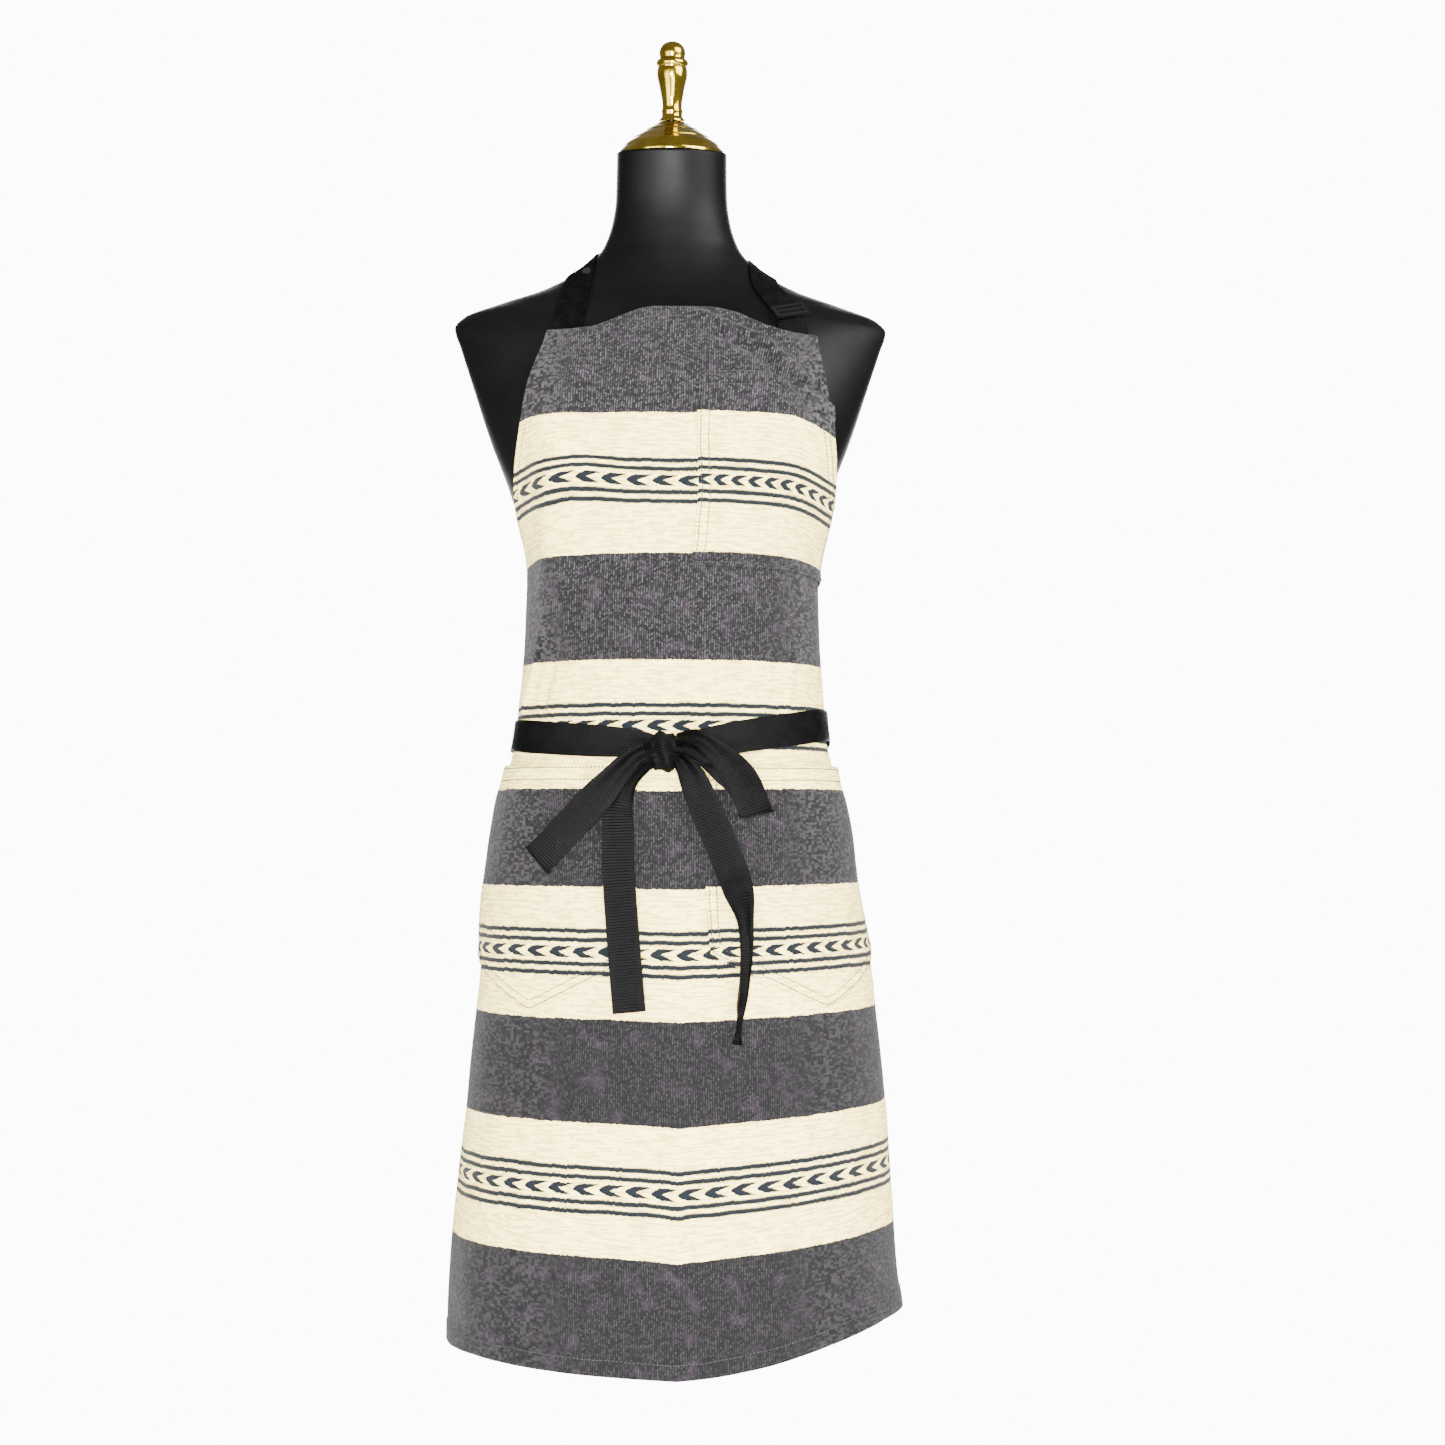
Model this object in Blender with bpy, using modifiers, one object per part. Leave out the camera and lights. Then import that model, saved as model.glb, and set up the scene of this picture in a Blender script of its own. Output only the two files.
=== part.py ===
"""A striped bib apron worn on an armless dress form with a turned metal neck cap.

Metres, +Z up. The form faces -Y, and +X is to the right as it is looked at from the front. The
origin is on the pole's axis, in the plane of the base board's underside.
"""

import math

import bmesh
import bpy
import numpy as np
from mathutils import Matrix, Vector
from mathutils.bvhtree import BVHTree

# ---- form: height, half width, front depth, back depth
FORM_STATIONS = (
    (0.000, 0.1560, 0.100, 0.108),
    (0.060, 0.1565, 0.106, 0.117),
    (0.130, 0.1515, 0.106, 0.117),
    (0.200, 0.1445, 0.100, 0.106),
    (0.265, 0.1330, 0.091, 0.090),
    (0.325, 0.1200, 0.085, 0.077),
    (0.400, 0.1165, 0.089, 0.079),
    (0.460, 0.1160, 0.097, 0.084),
    (0.520, 0.1325, 0.1035, 0.091),
    (0.565, 0.1495, 0.1050, 0.095),
    (0.610, 0.1645, 0.097, 0.096),
    (0.645, 0.1760, 0.086, 0.094),
    (0.663, 0.1815, 0.076, 0.090),
    (0.673, 0.1740, 0.069, 0.085),
    (0.684, 0.1480, 0.062, 0.079),
    (0.699, 0.1070, 0.055, 0.071),
    (0.719, 0.0730, 0.050, 0.061),
    (0.738, 0.0570, 0.047, 0.053),
    (0.760, 0.0500, 0.046, 0.049),
    (0.780, 0.0475, 0.046, 0.047),
    (0.820, 0.0465, 0.0465, 0.0465),
)
FORM_LEVELS = (0.0, 0.03, 0.07, 0.12, 0.17, 0.22, 0.265, 0.30, 0.34, 0.39, 0.44, 0.49, 0.53, 0.565,
               0.60, 0.635, 0.654, 0.664, 0.674, 0.685, 0.700, 0.719, 0.738, 0.755, 0.768, 0.781, 0.795, 0.820)
FORM_AROUND = 32
SHELL = 0.004  # wall of the form
ROUNDNESS = 0.92  # below 1, the sections are squarer than an ellipse
ARM_FLAT = 1.06  # how far the arm plates cut into the chest's sections
ARM_LOW, ARM_HIGH = 0.46, 0.56  # the arm plates fade in between these heights
BUST_LIFT, BUST_X, BUST_Z, BUST_SIZE = 0.0080, 0.075, 0.560, 0.036
NECK_TILT = math.radians(11)  # the neck's end, its cap and its finial lean forward
NECK_END = 0.820  # the neck's end, measured up its middle line
TILT_LOW, TILT_RUN = 0.750, 0.045  # where the lean starts, and how far it takes to come in

# ---- apron cloth: height, half width, front depth, back depth
CLOTH_STATIONS = (
    (-0.210, 0.1925, 0.1380, 0.133),
    (-0.100, 0.1830, 0.1310, 0.130),
    (-0.020, 0.1770, 0.1255, 0.128),
    (0.060, 0.1695, 0.1210, 0.126),
    (0.130, 0.1625, 0.1170, 0.124),
    (0.200, 0.1545, 0.1095, 0.114),
    (0.265, 0.1445, 0.1000, 0.099),
    (0.290, 0.1370, 0.0960, 0.092),
    (0.318, 0.1310, 0.0925, 0.086),
    (0.345, 0.1285, 0.0935, 0.084),
    (0.400, 0.1240, 0.0985, 0.086),
    (0.460, 0.1225, 0.1075, 0.091),
    (0.520, 0.1375, 0.1160, 0.097),
    (0.570, 0.1550, 0.1180, 0.101),
    (0.610, 0.1690, 0.1110, 0.102),
    (0.640, 0.1790, 0.1000, 0.101),
    (0.680, 0.1850, 0.0850, 0.098),
)
CLOTH = 0.0012  # thickness of the woven cloth in these solids
BIB_TOP, HEM_BOTTOM = 0.666, -0.175  # heights of the cloth's two ends at the front centre
BIB_SHIFT = 0.010  # the bib sits this far to +X
BIB_DROP = 0.021  # the bib's corners are this much lower than its middle
BIB_FLAT = 0.045  # half width of the high middle of the bib's top edge
SIDE_WIDTHS = ((0.0, 0.111), (0.08, 0.129), (0.12, 0.1415), (0.20, 0.178), (0.27, 0.232), (0.345, 0.300))
HEM_RISE, HEM_RISE_LEFT = 0.021, 0.006  # the hem is cut this much shorter at its two sides
WAIST_SWAY, SKIRT_SWAY, SWAY_TOP, SWAY_RUN = 0.0025, 0.0060, 0.200, 0.090  # the cloth hangs over to +X
SWAY_END, SWAY_FADE = 0.480, 0.100  # the sway fades out above this height
ROW_RISE = 0.010  # and the rows of the skirt's right side hang this much higher
PANEL_ROWS, PANEL_COLUMNS = 26, 36

# ---- pockets, in the cloth's own flat measures
HIP_INNER, HIP_OUTER = 0.027, 0.217
HIP_TOP, HIP_SIDE, HIP_TIP = 0.3720, 0.5260, 0.5740
CHEST_INNER, CHEST_TOP, CHEST_BOTTOM = 0.0150, 0.0620, 0.2180
CHEST_EDGE = 0.006  # the chest pocket stops this far inside the bib's side edge
POCKET_LIFT, POCKET_GAPE = 0.0023, 0.0092

# ---- black webbing
RIBBON = 0.0254
RIBBON_THICK = 0.0010
KNOT_Z = 0.3025
KNOT_SIZE = (0.036, 0.016, 0.032)
KNOT_GAP = 0.0075  # clear of the cloth, for the two ties that cross behind it
WAIST_LIFT, CROSS_LIFT = 0.0045, 0.0068
SEWN_AT = 0.285  # where the ties are sewn on, measured round from the front centre
WAIST_HEIGHT = 0.315  # the ties' length round the form is measured at this height
GATHERED = 0.018  # width of a tie where the knot gathers it in
STRAP_LIFT = 0.0030
FORWARD = (0.0, -1.0, 0.0)

# ---- metal neck cap and finial: radius and height along the neck's axis, from the neck's end up
CAP_PROFILE = ((0.0118, 0.0286), (0.0143, 0.0260), (0.0202, 0.0219), (0.0295, 0.0153), (0.0383, 0.0087),
               (0.0438, 0.0033), (0.0455, 0.0016), (0.0457, 0.0005))
CAP_WALL = 0.002
FINIAL_PROFILE = ((0.0000, 0.0952), (0.0050, 0.0944), (0.0087, 0.0919), (0.0108, 0.0883), (0.0114, 0.0852),
                  (0.0118, 0.0801), (0.0135, 0.0785), (0.0139, 0.0765), (0.0132, 0.0744), (0.0124, 0.0732),
                  (0.0130, 0.0715), (0.0131, 0.0665), (0.0122, 0.0619), (0.0110, 0.0569), (0.0101, 0.0526),
                  (0.0089, 0.0461), (0.0085, 0.0396), (0.0090, 0.0376), (0.0090, 0.0318), (0.0105, 0.0305),
                  (0.0112, 0.0290))
STUD_RADIUS, STUD_BOTTOM, STUD_TOP = 0.003, -0.0255, 0.0390
NUT_RADIUS, NUT_THICK = 0.010, 0.0025
NECK_BOARD_RADIUS, NECK_BOARD_LOW, NECK_BOARD_HIGH = 0.0412, -0.0185, -0.0065
RUNNING_GAP = 0.0003

# ---- boards, stand socket and its screws
BOARD_GAP = 0.0006
BASE_BOARD = 0.012
SOCKET_BORE, SOCKET_OUTER = 0.0135, 0.0165
SOCKET_LOW, SOCKET_HIGH = -0.045, 0.055
FLANGE_RADIUS, FLANGE_THICK = 0.042, 0.003
SCREW_CIRCLE, SCREW_SHANK, SCREW_HEAD, SCREW_LENGTH = 0.031, 0.0018, 0.0038, 0.010
CLAMP_Z, CLAMP_SHANK, CLAMP_KNOB = -0.024, 0.003, 0.010

GOLD = ((0.83, 0.58, 0.13), 0.16, 1.0)
BLACK_COVER = ((0.012, 0.012, 0.013), 0.62, 0.0)
STRIPED = ((0.47, 0.45, 0.42), 0.9, 0.0)
WEBBING = ((0.012, 0.012, 0.012), 0.75, 0.0)
BOARD_WOOD = ((0.50, 0.36, 0.20), 0.7, 0.0)
STEEL = ((0.55, 0.55, 0.56), 0.35, 1.0)
BLACK_PLASTIC = ((0.02, 0.02, 0.02), 0.4, 0.0)


# ---------------------------------------------------------------- helpers
def clear_scene():
    for obj in list(bpy.data.objects):
        bpy.data.objects.remove(obj, do_unlink=True)


def new_collection(name):
    coll = bpy.data.collections.new(name)
    bpy.context.scene.collection.children.link(coll)
    return coll


def material(name, look):
    mat = bpy.data.materials.get(name) or bpy.data.materials.new(name)
    mat.use_nodes = True
    shader = mat.node_tree.nodes["Principled BSDF"]
    colour, rough, metal = look
    shader.inputs["Base Color"].default_value = (*colour, 1.0)
    shader.inputs["Roughness"].default_value = rough
    shader.inputs["Metallic"].default_value = metal
    return mat


def add_object(name, mesh, coll, look):
    obj = bpy.data.objects.new(name, mesh)
    coll.objects.link(obj)
    mesh.materials.append(material(name + "_finish", look))
    return obj


def steady_curve(pairs, column=1):
    """A smooth curve through the stations that never overshoots between two of them."""
    knots = np.array([p[0] for p in pairs])
    values = np.array([p[column] for p in pairs])
    step = np.diff(knots)
    slope = np.diff(values) / step
    tangent = np.zeros(len(knots))
    tangent[0], tangent[-1] = slope[0], slope[-1]
    before, after = slope[:-1], slope[1:]
    same = before * after > 0
    tangent[1:-1][same] = 2 * before[same] * after[same] / (before[same] + after[same])

    def at(x):
        x = min(max(x, knots[0]), knots[-1])
        i = min(max(int(np.searchsorted(knots, x)) - 1, 0), len(step) - 1)
        t = (x - knots[i]) / step[i]
        ends = (1 + 2 * t) * (1 - t) ** 2 * values[i] + t * t * (3 - 2 * t) * values[i + 1]
        bends = t * (1 - t) ** 2 * tangent[i] + t * t * (t - 1) * tangent[i + 1]
        return float(ends + bends * step[i])

    return at


def ease(x):
    x = min(max(x, 0.0), 1.0)
    return x * x * (3 - 2 * x)


def grid_mesh(name, rows, closed=False):
    """Quads over rows of points; closed joins the ends of each row."""
    bm = bmesh.new()
    verts = [[bm.verts.new(p) for p in row] for row in rows]
    count = len(rows[0])
    for a, b in zip(verts, verts[1:]):
        for i in range(count if closed else count - 1):
            j = (i + 1) % count
            bm.faces.new((a[i], a[j], b[j], b[i]))
    mesh = bpy.data.meshes.new(name)
    bm.to_mesh(mesh)
    bm.free()
    return mesh


def sheet(name, rows, thickness, coll, look, offset=0.0, closed=False):
    """An open surface with a Solidify modifier."""
    obj = add_object(name, grid_mesh(name, rows, closed), coll, look)
    solid = obj.modifiers.new("wall", "SOLIDIFY")
    solid.thickness = thickness
    solid.offset = offset
    solid.use_even_offset = offset == 0.0
    obj.data.shade_smooth()
    obj.data.set_sharp_from_angle(angle=math.radians(50))
    return obj


def turned(name, profile, coll, look, steps=32):
    """A solid of revolution about Z from an outline that runs down its outer side."""
    mesh = bpy.data.meshes.new(name)
    points = [(radius, 0.0, height) for radius, height in profile]
    edges = [(i, i + 1) for i in range(len(points) - 1)]
    if profile[0][0] > 0:
        edges.append((len(points) - 1, 0))
    mesh.from_pydata(points, edges, [])
    obj = add_object(name, mesh, coll, look)
    screw = obj.modifiers.new("turn", "SCREW")
    screw.steps = screw.render_steps = steps
    screw.use_merge_vertices = True
    screw.merge_threshold = 0.00002
    screw.use_smooth_shade = True
    return obj


def cylinder(name, radius, low, high, coll, look=STEEL, segments=20):
    return turned(name, ((0.0, high), (radius, high), (radius, low), (0.0, low)), coll, look, segments)


def cut(obj, cutter):
    boolean = obj.modifiers.new("cut", "BOOLEAN")
    boolean.operation = "DIFFERENCE"
    boolean.solver = "EXACT"
    boolean.object = cutter


def as_cutter(obj):
    obj.hide_render = True
    obj.display_type = "WIRE"
    return obj


# ---------------------------------------------------------------- the form and the cloth's hang
def sections(stations):
    return [steady_curve(stations, column) for column in (1, 2, 3)]


FORM = sections(FORM_STATIONS)
HANG = sections(CLOTH_STATIONS)


def half_outline(shape, z, count=49):
    """The section at a height, from the front centre round +X to the back centre."""
    width, front, back = (curve(z) for curve in shape)
    flat = 1 + (ARM_FLAT - 1) * ease((z - ARM_LOW) / (ARM_HIGH - ARM_LOW))
    turn = np.linspace(0.0, math.pi, count)
    x = np.minimum(width, flat * width * np.abs(np.sin(turn)) ** ROUNDNESS)
    depth = np.where(turn < math.pi / 2, -front, back)
    y = depth * np.abs(np.cos(turn)) ** ROUNDNESS
    return x, y


def half_length(z):
    x, y = half_outline(HANG, z)
    return float(np.hypot(np.diff(x), np.diff(y)).sum())


def sway(z):
    """How far towards +X the whole section of cloth at that height hangs."""
    low = WAIST_SWAY + SKIRT_SWAY * ease((SWAY_TOP - z) / SWAY_RUN)
    return low * (1 - ease((z - SWAY_END) / SWAY_FADE))


def hang_point(z, along, lift=0.0):
    """A point on the cloth's hang: along is measured round the section from the front centre."""
    x, y = half_outline(HANG, z)
    run = np.concatenate(([0.0], np.cumsum(np.hypot(np.diff(x), np.diff(y)))))
    around = 2 * run[-1]
    along = (along + run[-1]) % around - run[-1]
    side = -1.0 if along < 0 else 1.0
    spot = abs(along)
    here = np.array((np.interp(spot, run, x), np.interp(spot, run, y)))
    probe = 0.004
    ahead = np.array((np.interp(spot + probe, run, x), np.interp(spot + probe, run, y)))
    behind = np.array((np.interp(spot - probe, run, x), np.interp(spot - probe, run, y)))
    tangent = (ahead - behind) / max(np.hypot(*(ahead - behind)), 1e-9)
    out = np.array((-tangent[1], tangent[0])) * -1.0
    here = here + out * lift
    return Vector((side * here[0] + sway(z), here[1], z))


def centre_table():
    heights = np.arange(BIB_TOP, HEM_BOTTOM - 0.0021, -0.002)
    fronts = np.array([HANG[1](z) for z in heights])
    run = np.concatenate(([0.0], np.cumsum(np.hypot(np.diff(heights), np.diff(fronts)))))
    return run, heights


CENTRE_RUN, CENTRE_HEIGHTS = centre_table()
CLOTH_LENGTH = float(np.interp(-HEM_BOTTOM, -CENTRE_HEIGHTS, CENTRE_RUN))
side_width = steady_curve(SIDE_WIDTHS)


def centre_height(down):
    return float(np.interp(down, CENTRE_RUN, CENTRE_HEIGHTS))


def cloth_point(across, down, lift=0.0):
    """Where a point of the flat cloth hangs: across from its centre line, down from its top edge."""
    skirt = ease((down - 0.33) / 0.5)
    rise = ROW_RISE * skirt * ease(across / 0.22)
    shift = BIB_SHIFT * (1 - ease(down / 0.28))
    return hang_point(centre_height(down) + rise, across + shift, lift)


def top_edge(across):
    return BIB_DROP * ease((abs(across) - BIB_FLAT) / (0.100 - BIB_FLAT))


def bottom_edge(across):
    return CLOTH_LENGTH - HEM_RISE * ease(across / 0.21) - HEM_RISE_LEFT * ease(-across / 0.18)


def neck_lean(z):
    """The lean of the section at z up the neck's middle line, and how far forward and high it is."""
    run = max(z - TILT_LOW, 0.0)
    share = min(run / TILT_RUN, 1.0)
    straight = max(run - TILT_RUN, 0.0)
    forward = NECK_TILT * TILT_RUN * (share**3 - share**4 / 2) + math.sin(NECK_TILT) * straight
    return NECK_TILT * ease(share), forward, z - straight * (1 - math.cos(NECK_TILT))


def torso_point(z, turn):
    x, y = half_outline(FORM, z, 181)
    spot = abs(turn) / math.pi * 180
    px, py = np.interp(spot, range(181), x), np.interp(spot, range(181), y)
    if turn < 0:
        px = -px
    bust = math.exp(-((abs(px) - BUST_X) ** 2 + (z - BUST_Z) ** 2) / (2 * BUST_SIZE**2))
    if py < 0:
        py -= BUST_LIFT * bust
    angle, forward, height = neck_lean(z)
    return Vector((px, py * math.cos(angle) - forward, height + py * math.sin(angle)))


def turns():
    return [math.pi * (2 * i / FORM_AROUND - 1) for i in range(FORM_AROUND)]


def build_torso(coll):
    rows = [[torso_point(z, turn) for turn in turns()] for z in FORM_LEVELS]
    return sheet("torso_shell", rows, SHELL, coll, BLACK_COVER, offset=-1.0, closed=True)


def board(name, low, high, coll):
    """A flat board that fills the form's section, inside its wall."""
    inset = SHELL + BOARD_GAP
    bm = bmesh.new()
    rings = []
    for z in (low, high):
        ring = []
        for turn in turns():
            p = torso_point(z, turn)
            reach = math.hypot(p.x, p.y)
            keep = (reach - inset * 1.12) / reach
            ring.append(bm.verts.new((p.x * keep, p.y * keep, z)))
        rings.append(ring)
    lower, upper = rings
    count = len(lower)
    for i in range(count):
        j = (i + 1) % count
        bm.faces.new((lower[i], lower[j], upper[j], upper[i]))
    bm.faces.new(reversed(lower))
    bm.faces.new(upper)
    mesh = bpy.data.meshes.new(name)
    bm.to_mesh(mesh)
    bm.free()
    return add_object(name, mesh, coll, BOARD_WOOD)


# ---------------------------------------------------------------- hardware
def lean_forward(obj):
    """Puts a piece that is described from the neck's end onto the leaning end."""
    angle, forward, height = neck_lean(NECK_END)
    obj.location = (0.0, -forward, height)
    obj.rotation_euler = (angle, 0.0, 0.0)


def build_neck_hardware(coll):
    inner = [(radius - CAP_WALL, height - CAP_WALL * 0.6) for radius, height in CAP_PROFILE[:-1]]
    bore = STUD_RADIUS + RUNNING_GAP
    top, bottom = CAP_PROFILE[0][1], CAP_PROFILE[-1]
    profile = [(bore, top), *CAP_PROFILE, (bottom[0] - CAP_WALL, bottom[1])]
    profile += [*reversed(inner[1:]), (bore, top - CAP_WALL)]
    cap = turned("neck_cap", profile, coll, GOLD, 32)
    blind = STUD_TOP + RUNNING_GAP
    profile = [*FINIAL_PROFILE, (bore, FINIAL_PROFILE[-1][1]), (bore, blind), (0.0, blind)]
    finial = turned("finial", profile, coll, GOLD, 20)
    stud = cylinder("finial_stud", STUD_RADIUS, STUD_BOTTOM, STUD_TOP, coll, segments=16)
    profile = ((bore, NECK_BOARD_HIGH), (NECK_BOARD_RADIUS, NECK_BOARD_HIGH),
               (NECK_BOARD_RADIUS, NECK_BOARD_LOW), (bore, NECK_BOARD_LOW))
    neck_board = turned("neck_board", profile, coll, BOARD_WOOD, 32)
    high = NECK_BOARD_LOW - RUNNING_GAP
    low = high - NUT_THICK
    profile = ((bore, high), (NUT_RADIUS, high), (NUT_RADIUS, low), (bore, low))
    nut = turned("stud_nut", profile, coll, STEEL, 20)
    for obj in (cap, finial, stud, neck_board, nut):
        lean_forward(obj)


def build_stand_hardware(coll, cutters):
    base = board("base_board", 0.0, BASE_BOARD, coll)
    clear = SOCKET_OUTER + RUNNING_GAP
    cut(base, as_cutter(cylinder("socket_hole", clear, -0.01, 0.03, cutters, segments=32)))
    top = -RUNNING_GAP
    profile = ((SOCKET_BORE, SOCKET_HIGH), (SOCKET_OUTER, SOCKET_HIGH), (SOCKET_OUTER, top),
               (FLANGE_RADIUS, top), (FLANGE_RADIUS, top - FLANGE_THICK), (SOCKET_OUTER, top - FLANGE_THICK),
               (SOCKET_OUTER, SOCKET_LOW), (SOCKET_BORE, SOCKET_LOW))
    socket = turned("stand_socket", profile, coll, STEEL, 32)
    for i in range(4):
        angle = math.radians(45 + 90 * i)
        spot = (SCREW_CIRCLE * math.cos(angle), SCREW_CIRCLE * math.sin(angle), 0.0)
        hole = as_cutter(cylinder(f"screw_hole_{i + 1}", SCREW_SHANK + RUNNING_GAP, -0.01, 0.0115, cutters,
                                  segments=12))
        hole.location = spot
        cut(socket, hole)
        cut(base, hole)
        under = top - FLANGE_THICK - RUNNING_GAP
        profile = ((0.0, SCREW_LENGTH), (SCREW_SHANK * 0.4, SCREW_LENGTH),
                   (SCREW_SHANK, SCREW_LENGTH - 0.003), (SCREW_SHANK, under), (SCREW_HEAD, under),
                   (SCREW_HEAD * 0.86, under - 0.0016), (SCREW_HEAD * 0.4, under - 0.0022),
                   (0.0, under - 0.0022))
        screw = turned(f"socket_screw_{i + 1}", profile, coll, STEEL, 16)
        screw.location = spot
    bore = as_cutter(cylinder("clamp_hole", CLAMP_SHANK + RUNNING_GAP, 0.008, 0.025, cutters, segments=16))
    bore.rotation_euler = (math.radians(-90), 0.0, 0.0)
    bore.location = (0.0, 0.0, CLAMP_Z)
    cut(socket, bore)
    knob_low = SOCKET_OUTER + 0.006
    profile = ((0.0, knob_low + 0.014), (CLAMP_KNOB * 0.8, knob_low + 0.014), (CLAMP_KNOB, knob_low + 0.012),
               (CLAMP_KNOB, knob_low + 0.002), (CLAMP_KNOB * 0.8, knob_low), (CLAMP_SHANK, knob_low),
               (CLAMP_SHANK, SOCKET_BORE + 0.0008), (0.0, SOCKET_BORE + 0.0008))
    clamp = turned("pole_clamp_screw", profile, coll, STEEL, 24)
    clamp.rotation_euler = (math.radians(-90), 0.0, 0.0)
    clamp.location = (0.0, 0.0, CLAMP_Z)


# ---------------------------------------------------------------- the apron
def build_panel(coll):
    rows = []
    for i in range(PANEL_ROWS + 1):
        part = i / PANEL_ROWS
        row = []
        for j in range(PANEL_COLUMNS + 1):
            share = 2 * j / PANEL_COLUMNS - 1
            level = part * CLOTH_LENGTH
            across = share * side_width(level)
            high, low = top_edge(across), bottom_edge(across)
            row.append(cloth_point(across, high + (low - high) * part))
        rows.append(row)
    return sheet("apron_panel", rows, CLOTH, coll, STRIPED)


def pocket_rows(left, right, top, bottom, rows=9, columns=12):
    """Rows of a pocket between two side edges; its mouth stands away from the panel."""
    grid = []
    for i in range(rows + 1):
        part = i / rows
        row = []
        for j in range(columns + 1):
            share = j / columns
            guess = left(0.5) + (right(0.5) - left(0.5)) * share
            down = top(guess) + (bottom(guess) - top(guess)) * part
            across = left(down) + (right(down) - left(down)) * share
            down = top(across) + (bottom(across) - top(across)) * part
            gape = POCKET_GAPE * math.sin(math.pi * share) ** 0.8 * (1 - part) ** 0.8
            row.append(cloth_point(across, down, POCKET_LIFT + gape))
        grid.append(row)
    return grid


def build_pockets(coll):
    middle = (HIP_INNER + HIP_OUTER) / 2
    half = (HIP_OUTER - HIP_INNER) / 2
    for name, side in (("hip_pocket_left", -1), ("hip_pocket_right", 1)):
        def bottom(across):
            return HIP_TIP - (HIP_TIP - HIP_SIDE) * abs(abs(across) - middle) / half

        edges = sorted((side * HIP_INNER, side * HIP_OUTER))
        rows = pocket_rows(lambda down, e=edges: e[0], lambda down, e=edges: e[1],
                           lambda across: HIP_TOP, bottom)
        sheet(name, rows, CLOTH, coll, STRIPED)
    rows = pocket_rows(lambda down: CHEST_INNER, lambda down: side_width(down) - CHEST_EDGE,
                       lambda across: CHEST_TOP + 0.12 * max(across - 0.06, 0.0),
                       lambda across: CHEST_BOTTOM, rows=9, columns=9)
    sheet("chest_pocket", rows, CLOTH, coll, STRIPED)


# ---------------------------------------------------------------- black webbing
def spline(points, count):
    """Evenly spread points along a smooth curve through the given ones."""
    pts = [Vector(p) for p in points]
    pts = [2 * pts[0] - pts[1], *pts, 2 * pts[-1] - pts[-2]]
    fine = []
    for a, b, c, d in zip(pts, pts[1:], pts[2:], pts[3:]):
        for k in range(24):
            t = k / 24
            fine.append(0.5 * (2 * b + (c - a) * t + (2 * a - 5 * b + 4 * c - d) * t * t
                               + (3 * b - a - 3 * c + d) * t**3))
    fine.append(pts[-2])
    run = [0.0]
    for a, b in zip(fine, fine[1:]):
        run.append(run[-1] + (b - a).length)
    spots = np.linspace(0.0, run[-1], count)
    return [Vector([np.interp(s, run, [p[k] for p in fine]) for k in range(3)]) for s in spots]


def waist_rows(path, count=44, columns=3):
    """Ribbon rows round the waist; path holds (along, height, width, lift) stations."""
    fine = spline([(along, height, width) for along, height, width, lift in path], count)
    lifts = steady_curve([(i, p[3]) for i, p in enumerate(path)])
    rows = []
    for k, (along, height, width) in enumerate(fine):
        lift = lifts(k / (count - 1) * (len(path) - 1))
        row = []
        for j in range(columns):
            row.append(hang_point(height + width * (0.5 - j / (columns - 1)), along, lift))
        rows.append(row)
    return rows


def build_waist_ties(coll):
    """Each tie is sewn to its own back corner, crosses the back and comes round to the front."""
    around = 2 * half_length(WAIST_HEIGHT)
    near_knot = KNOT_SIZE[0] / 2 + 0.0015
    half = around / 2
    left = ((-SEWN_AT, 0.298, RIBBON, WAIST_LIFT), (-half, 0.302, RIBBON, WAIST_LIFT),
            (-around + 0.25, 0.316, RIBBON, WAIST_LIFT), (-around + 0.17, 0.330, RIBBON, WAIST_LIFT),
            (-around + 0.10, 0.324, RIBBON, WAIST_LIFT), (-around + near_knot, 0.311, GATHERED, WAIST_LIFT))
    right = ((SEWN_AT, 0.300, RIBBON, CROSS_LIFT), (half, 0.303, RIBBON, CROSS_LIFT + 0.0004),
             (around - 0.25, 0.315, RIBBON, CROSS_LIFT), (around - 0.17, 0.3205, RIBBON, WAIST_LIFT),
             (around - 0.10, 0.3165, RIBBON, WAIST_LIFT), (around - near_knot, 0.310, GATHERED, WAIST_LIFT))
    sheet("waist_tie_left", waist_rows(left), RIBBON_THICK, coll, WEBBING)
    sheet("waist_tie_right", waist_rows(right), RIBBON_THICK, coll, WEBBING)


def knot_front():
    return hang_point(KNOT_Z, 0.0).y - CLOTH / 2


def build_knot(coll):
    bpy.ops.mesh.primitive_cube_add(size=1.0)
    obj = bpy.context.active_object
    obj.name = "bow_knot"
    obj.data.transform(Matrix.Diagonal((*KNOT_SIZE, 1.0)))
    obj.location = (0.0, knot_front() - KNOT_GAP - KNOT_SIZE[1] / 2, KNOT_Z)
    for other in list(obj.users_collection):
        other.objects.unlink(obj)
    coll.objects.link(obj)
    obj.data.materials.append(material("bow_knot_finish", WEBBING))
    bevel = obj.modifiers.new("soft", "BEVEL")
    bevel.width = 0.006
    bevel.segments = 3


def strip_rows(points, widths, aim, count, columns=3):
    """Ribbon rows along a free path; the ribbon's face looks along aim."""
    fine = spline(points, count)
    width_at = steady_curve(widths)
    rows = []
    for k, p in enumerate(fine):
        ahead, behind = fine[min(k + 1, count - 1)], fine[max(k - 1, 0)]
        tangent = (ahead - behind).normalized()
        across = tangent.cross(Vector(aim)).normalized()
        half = width_at(k / (count - 1)) / 2
        rows.append([p + across * half * (2 * j / (columns - 1) - 1) for j in range(columns)])
    return rows


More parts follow.
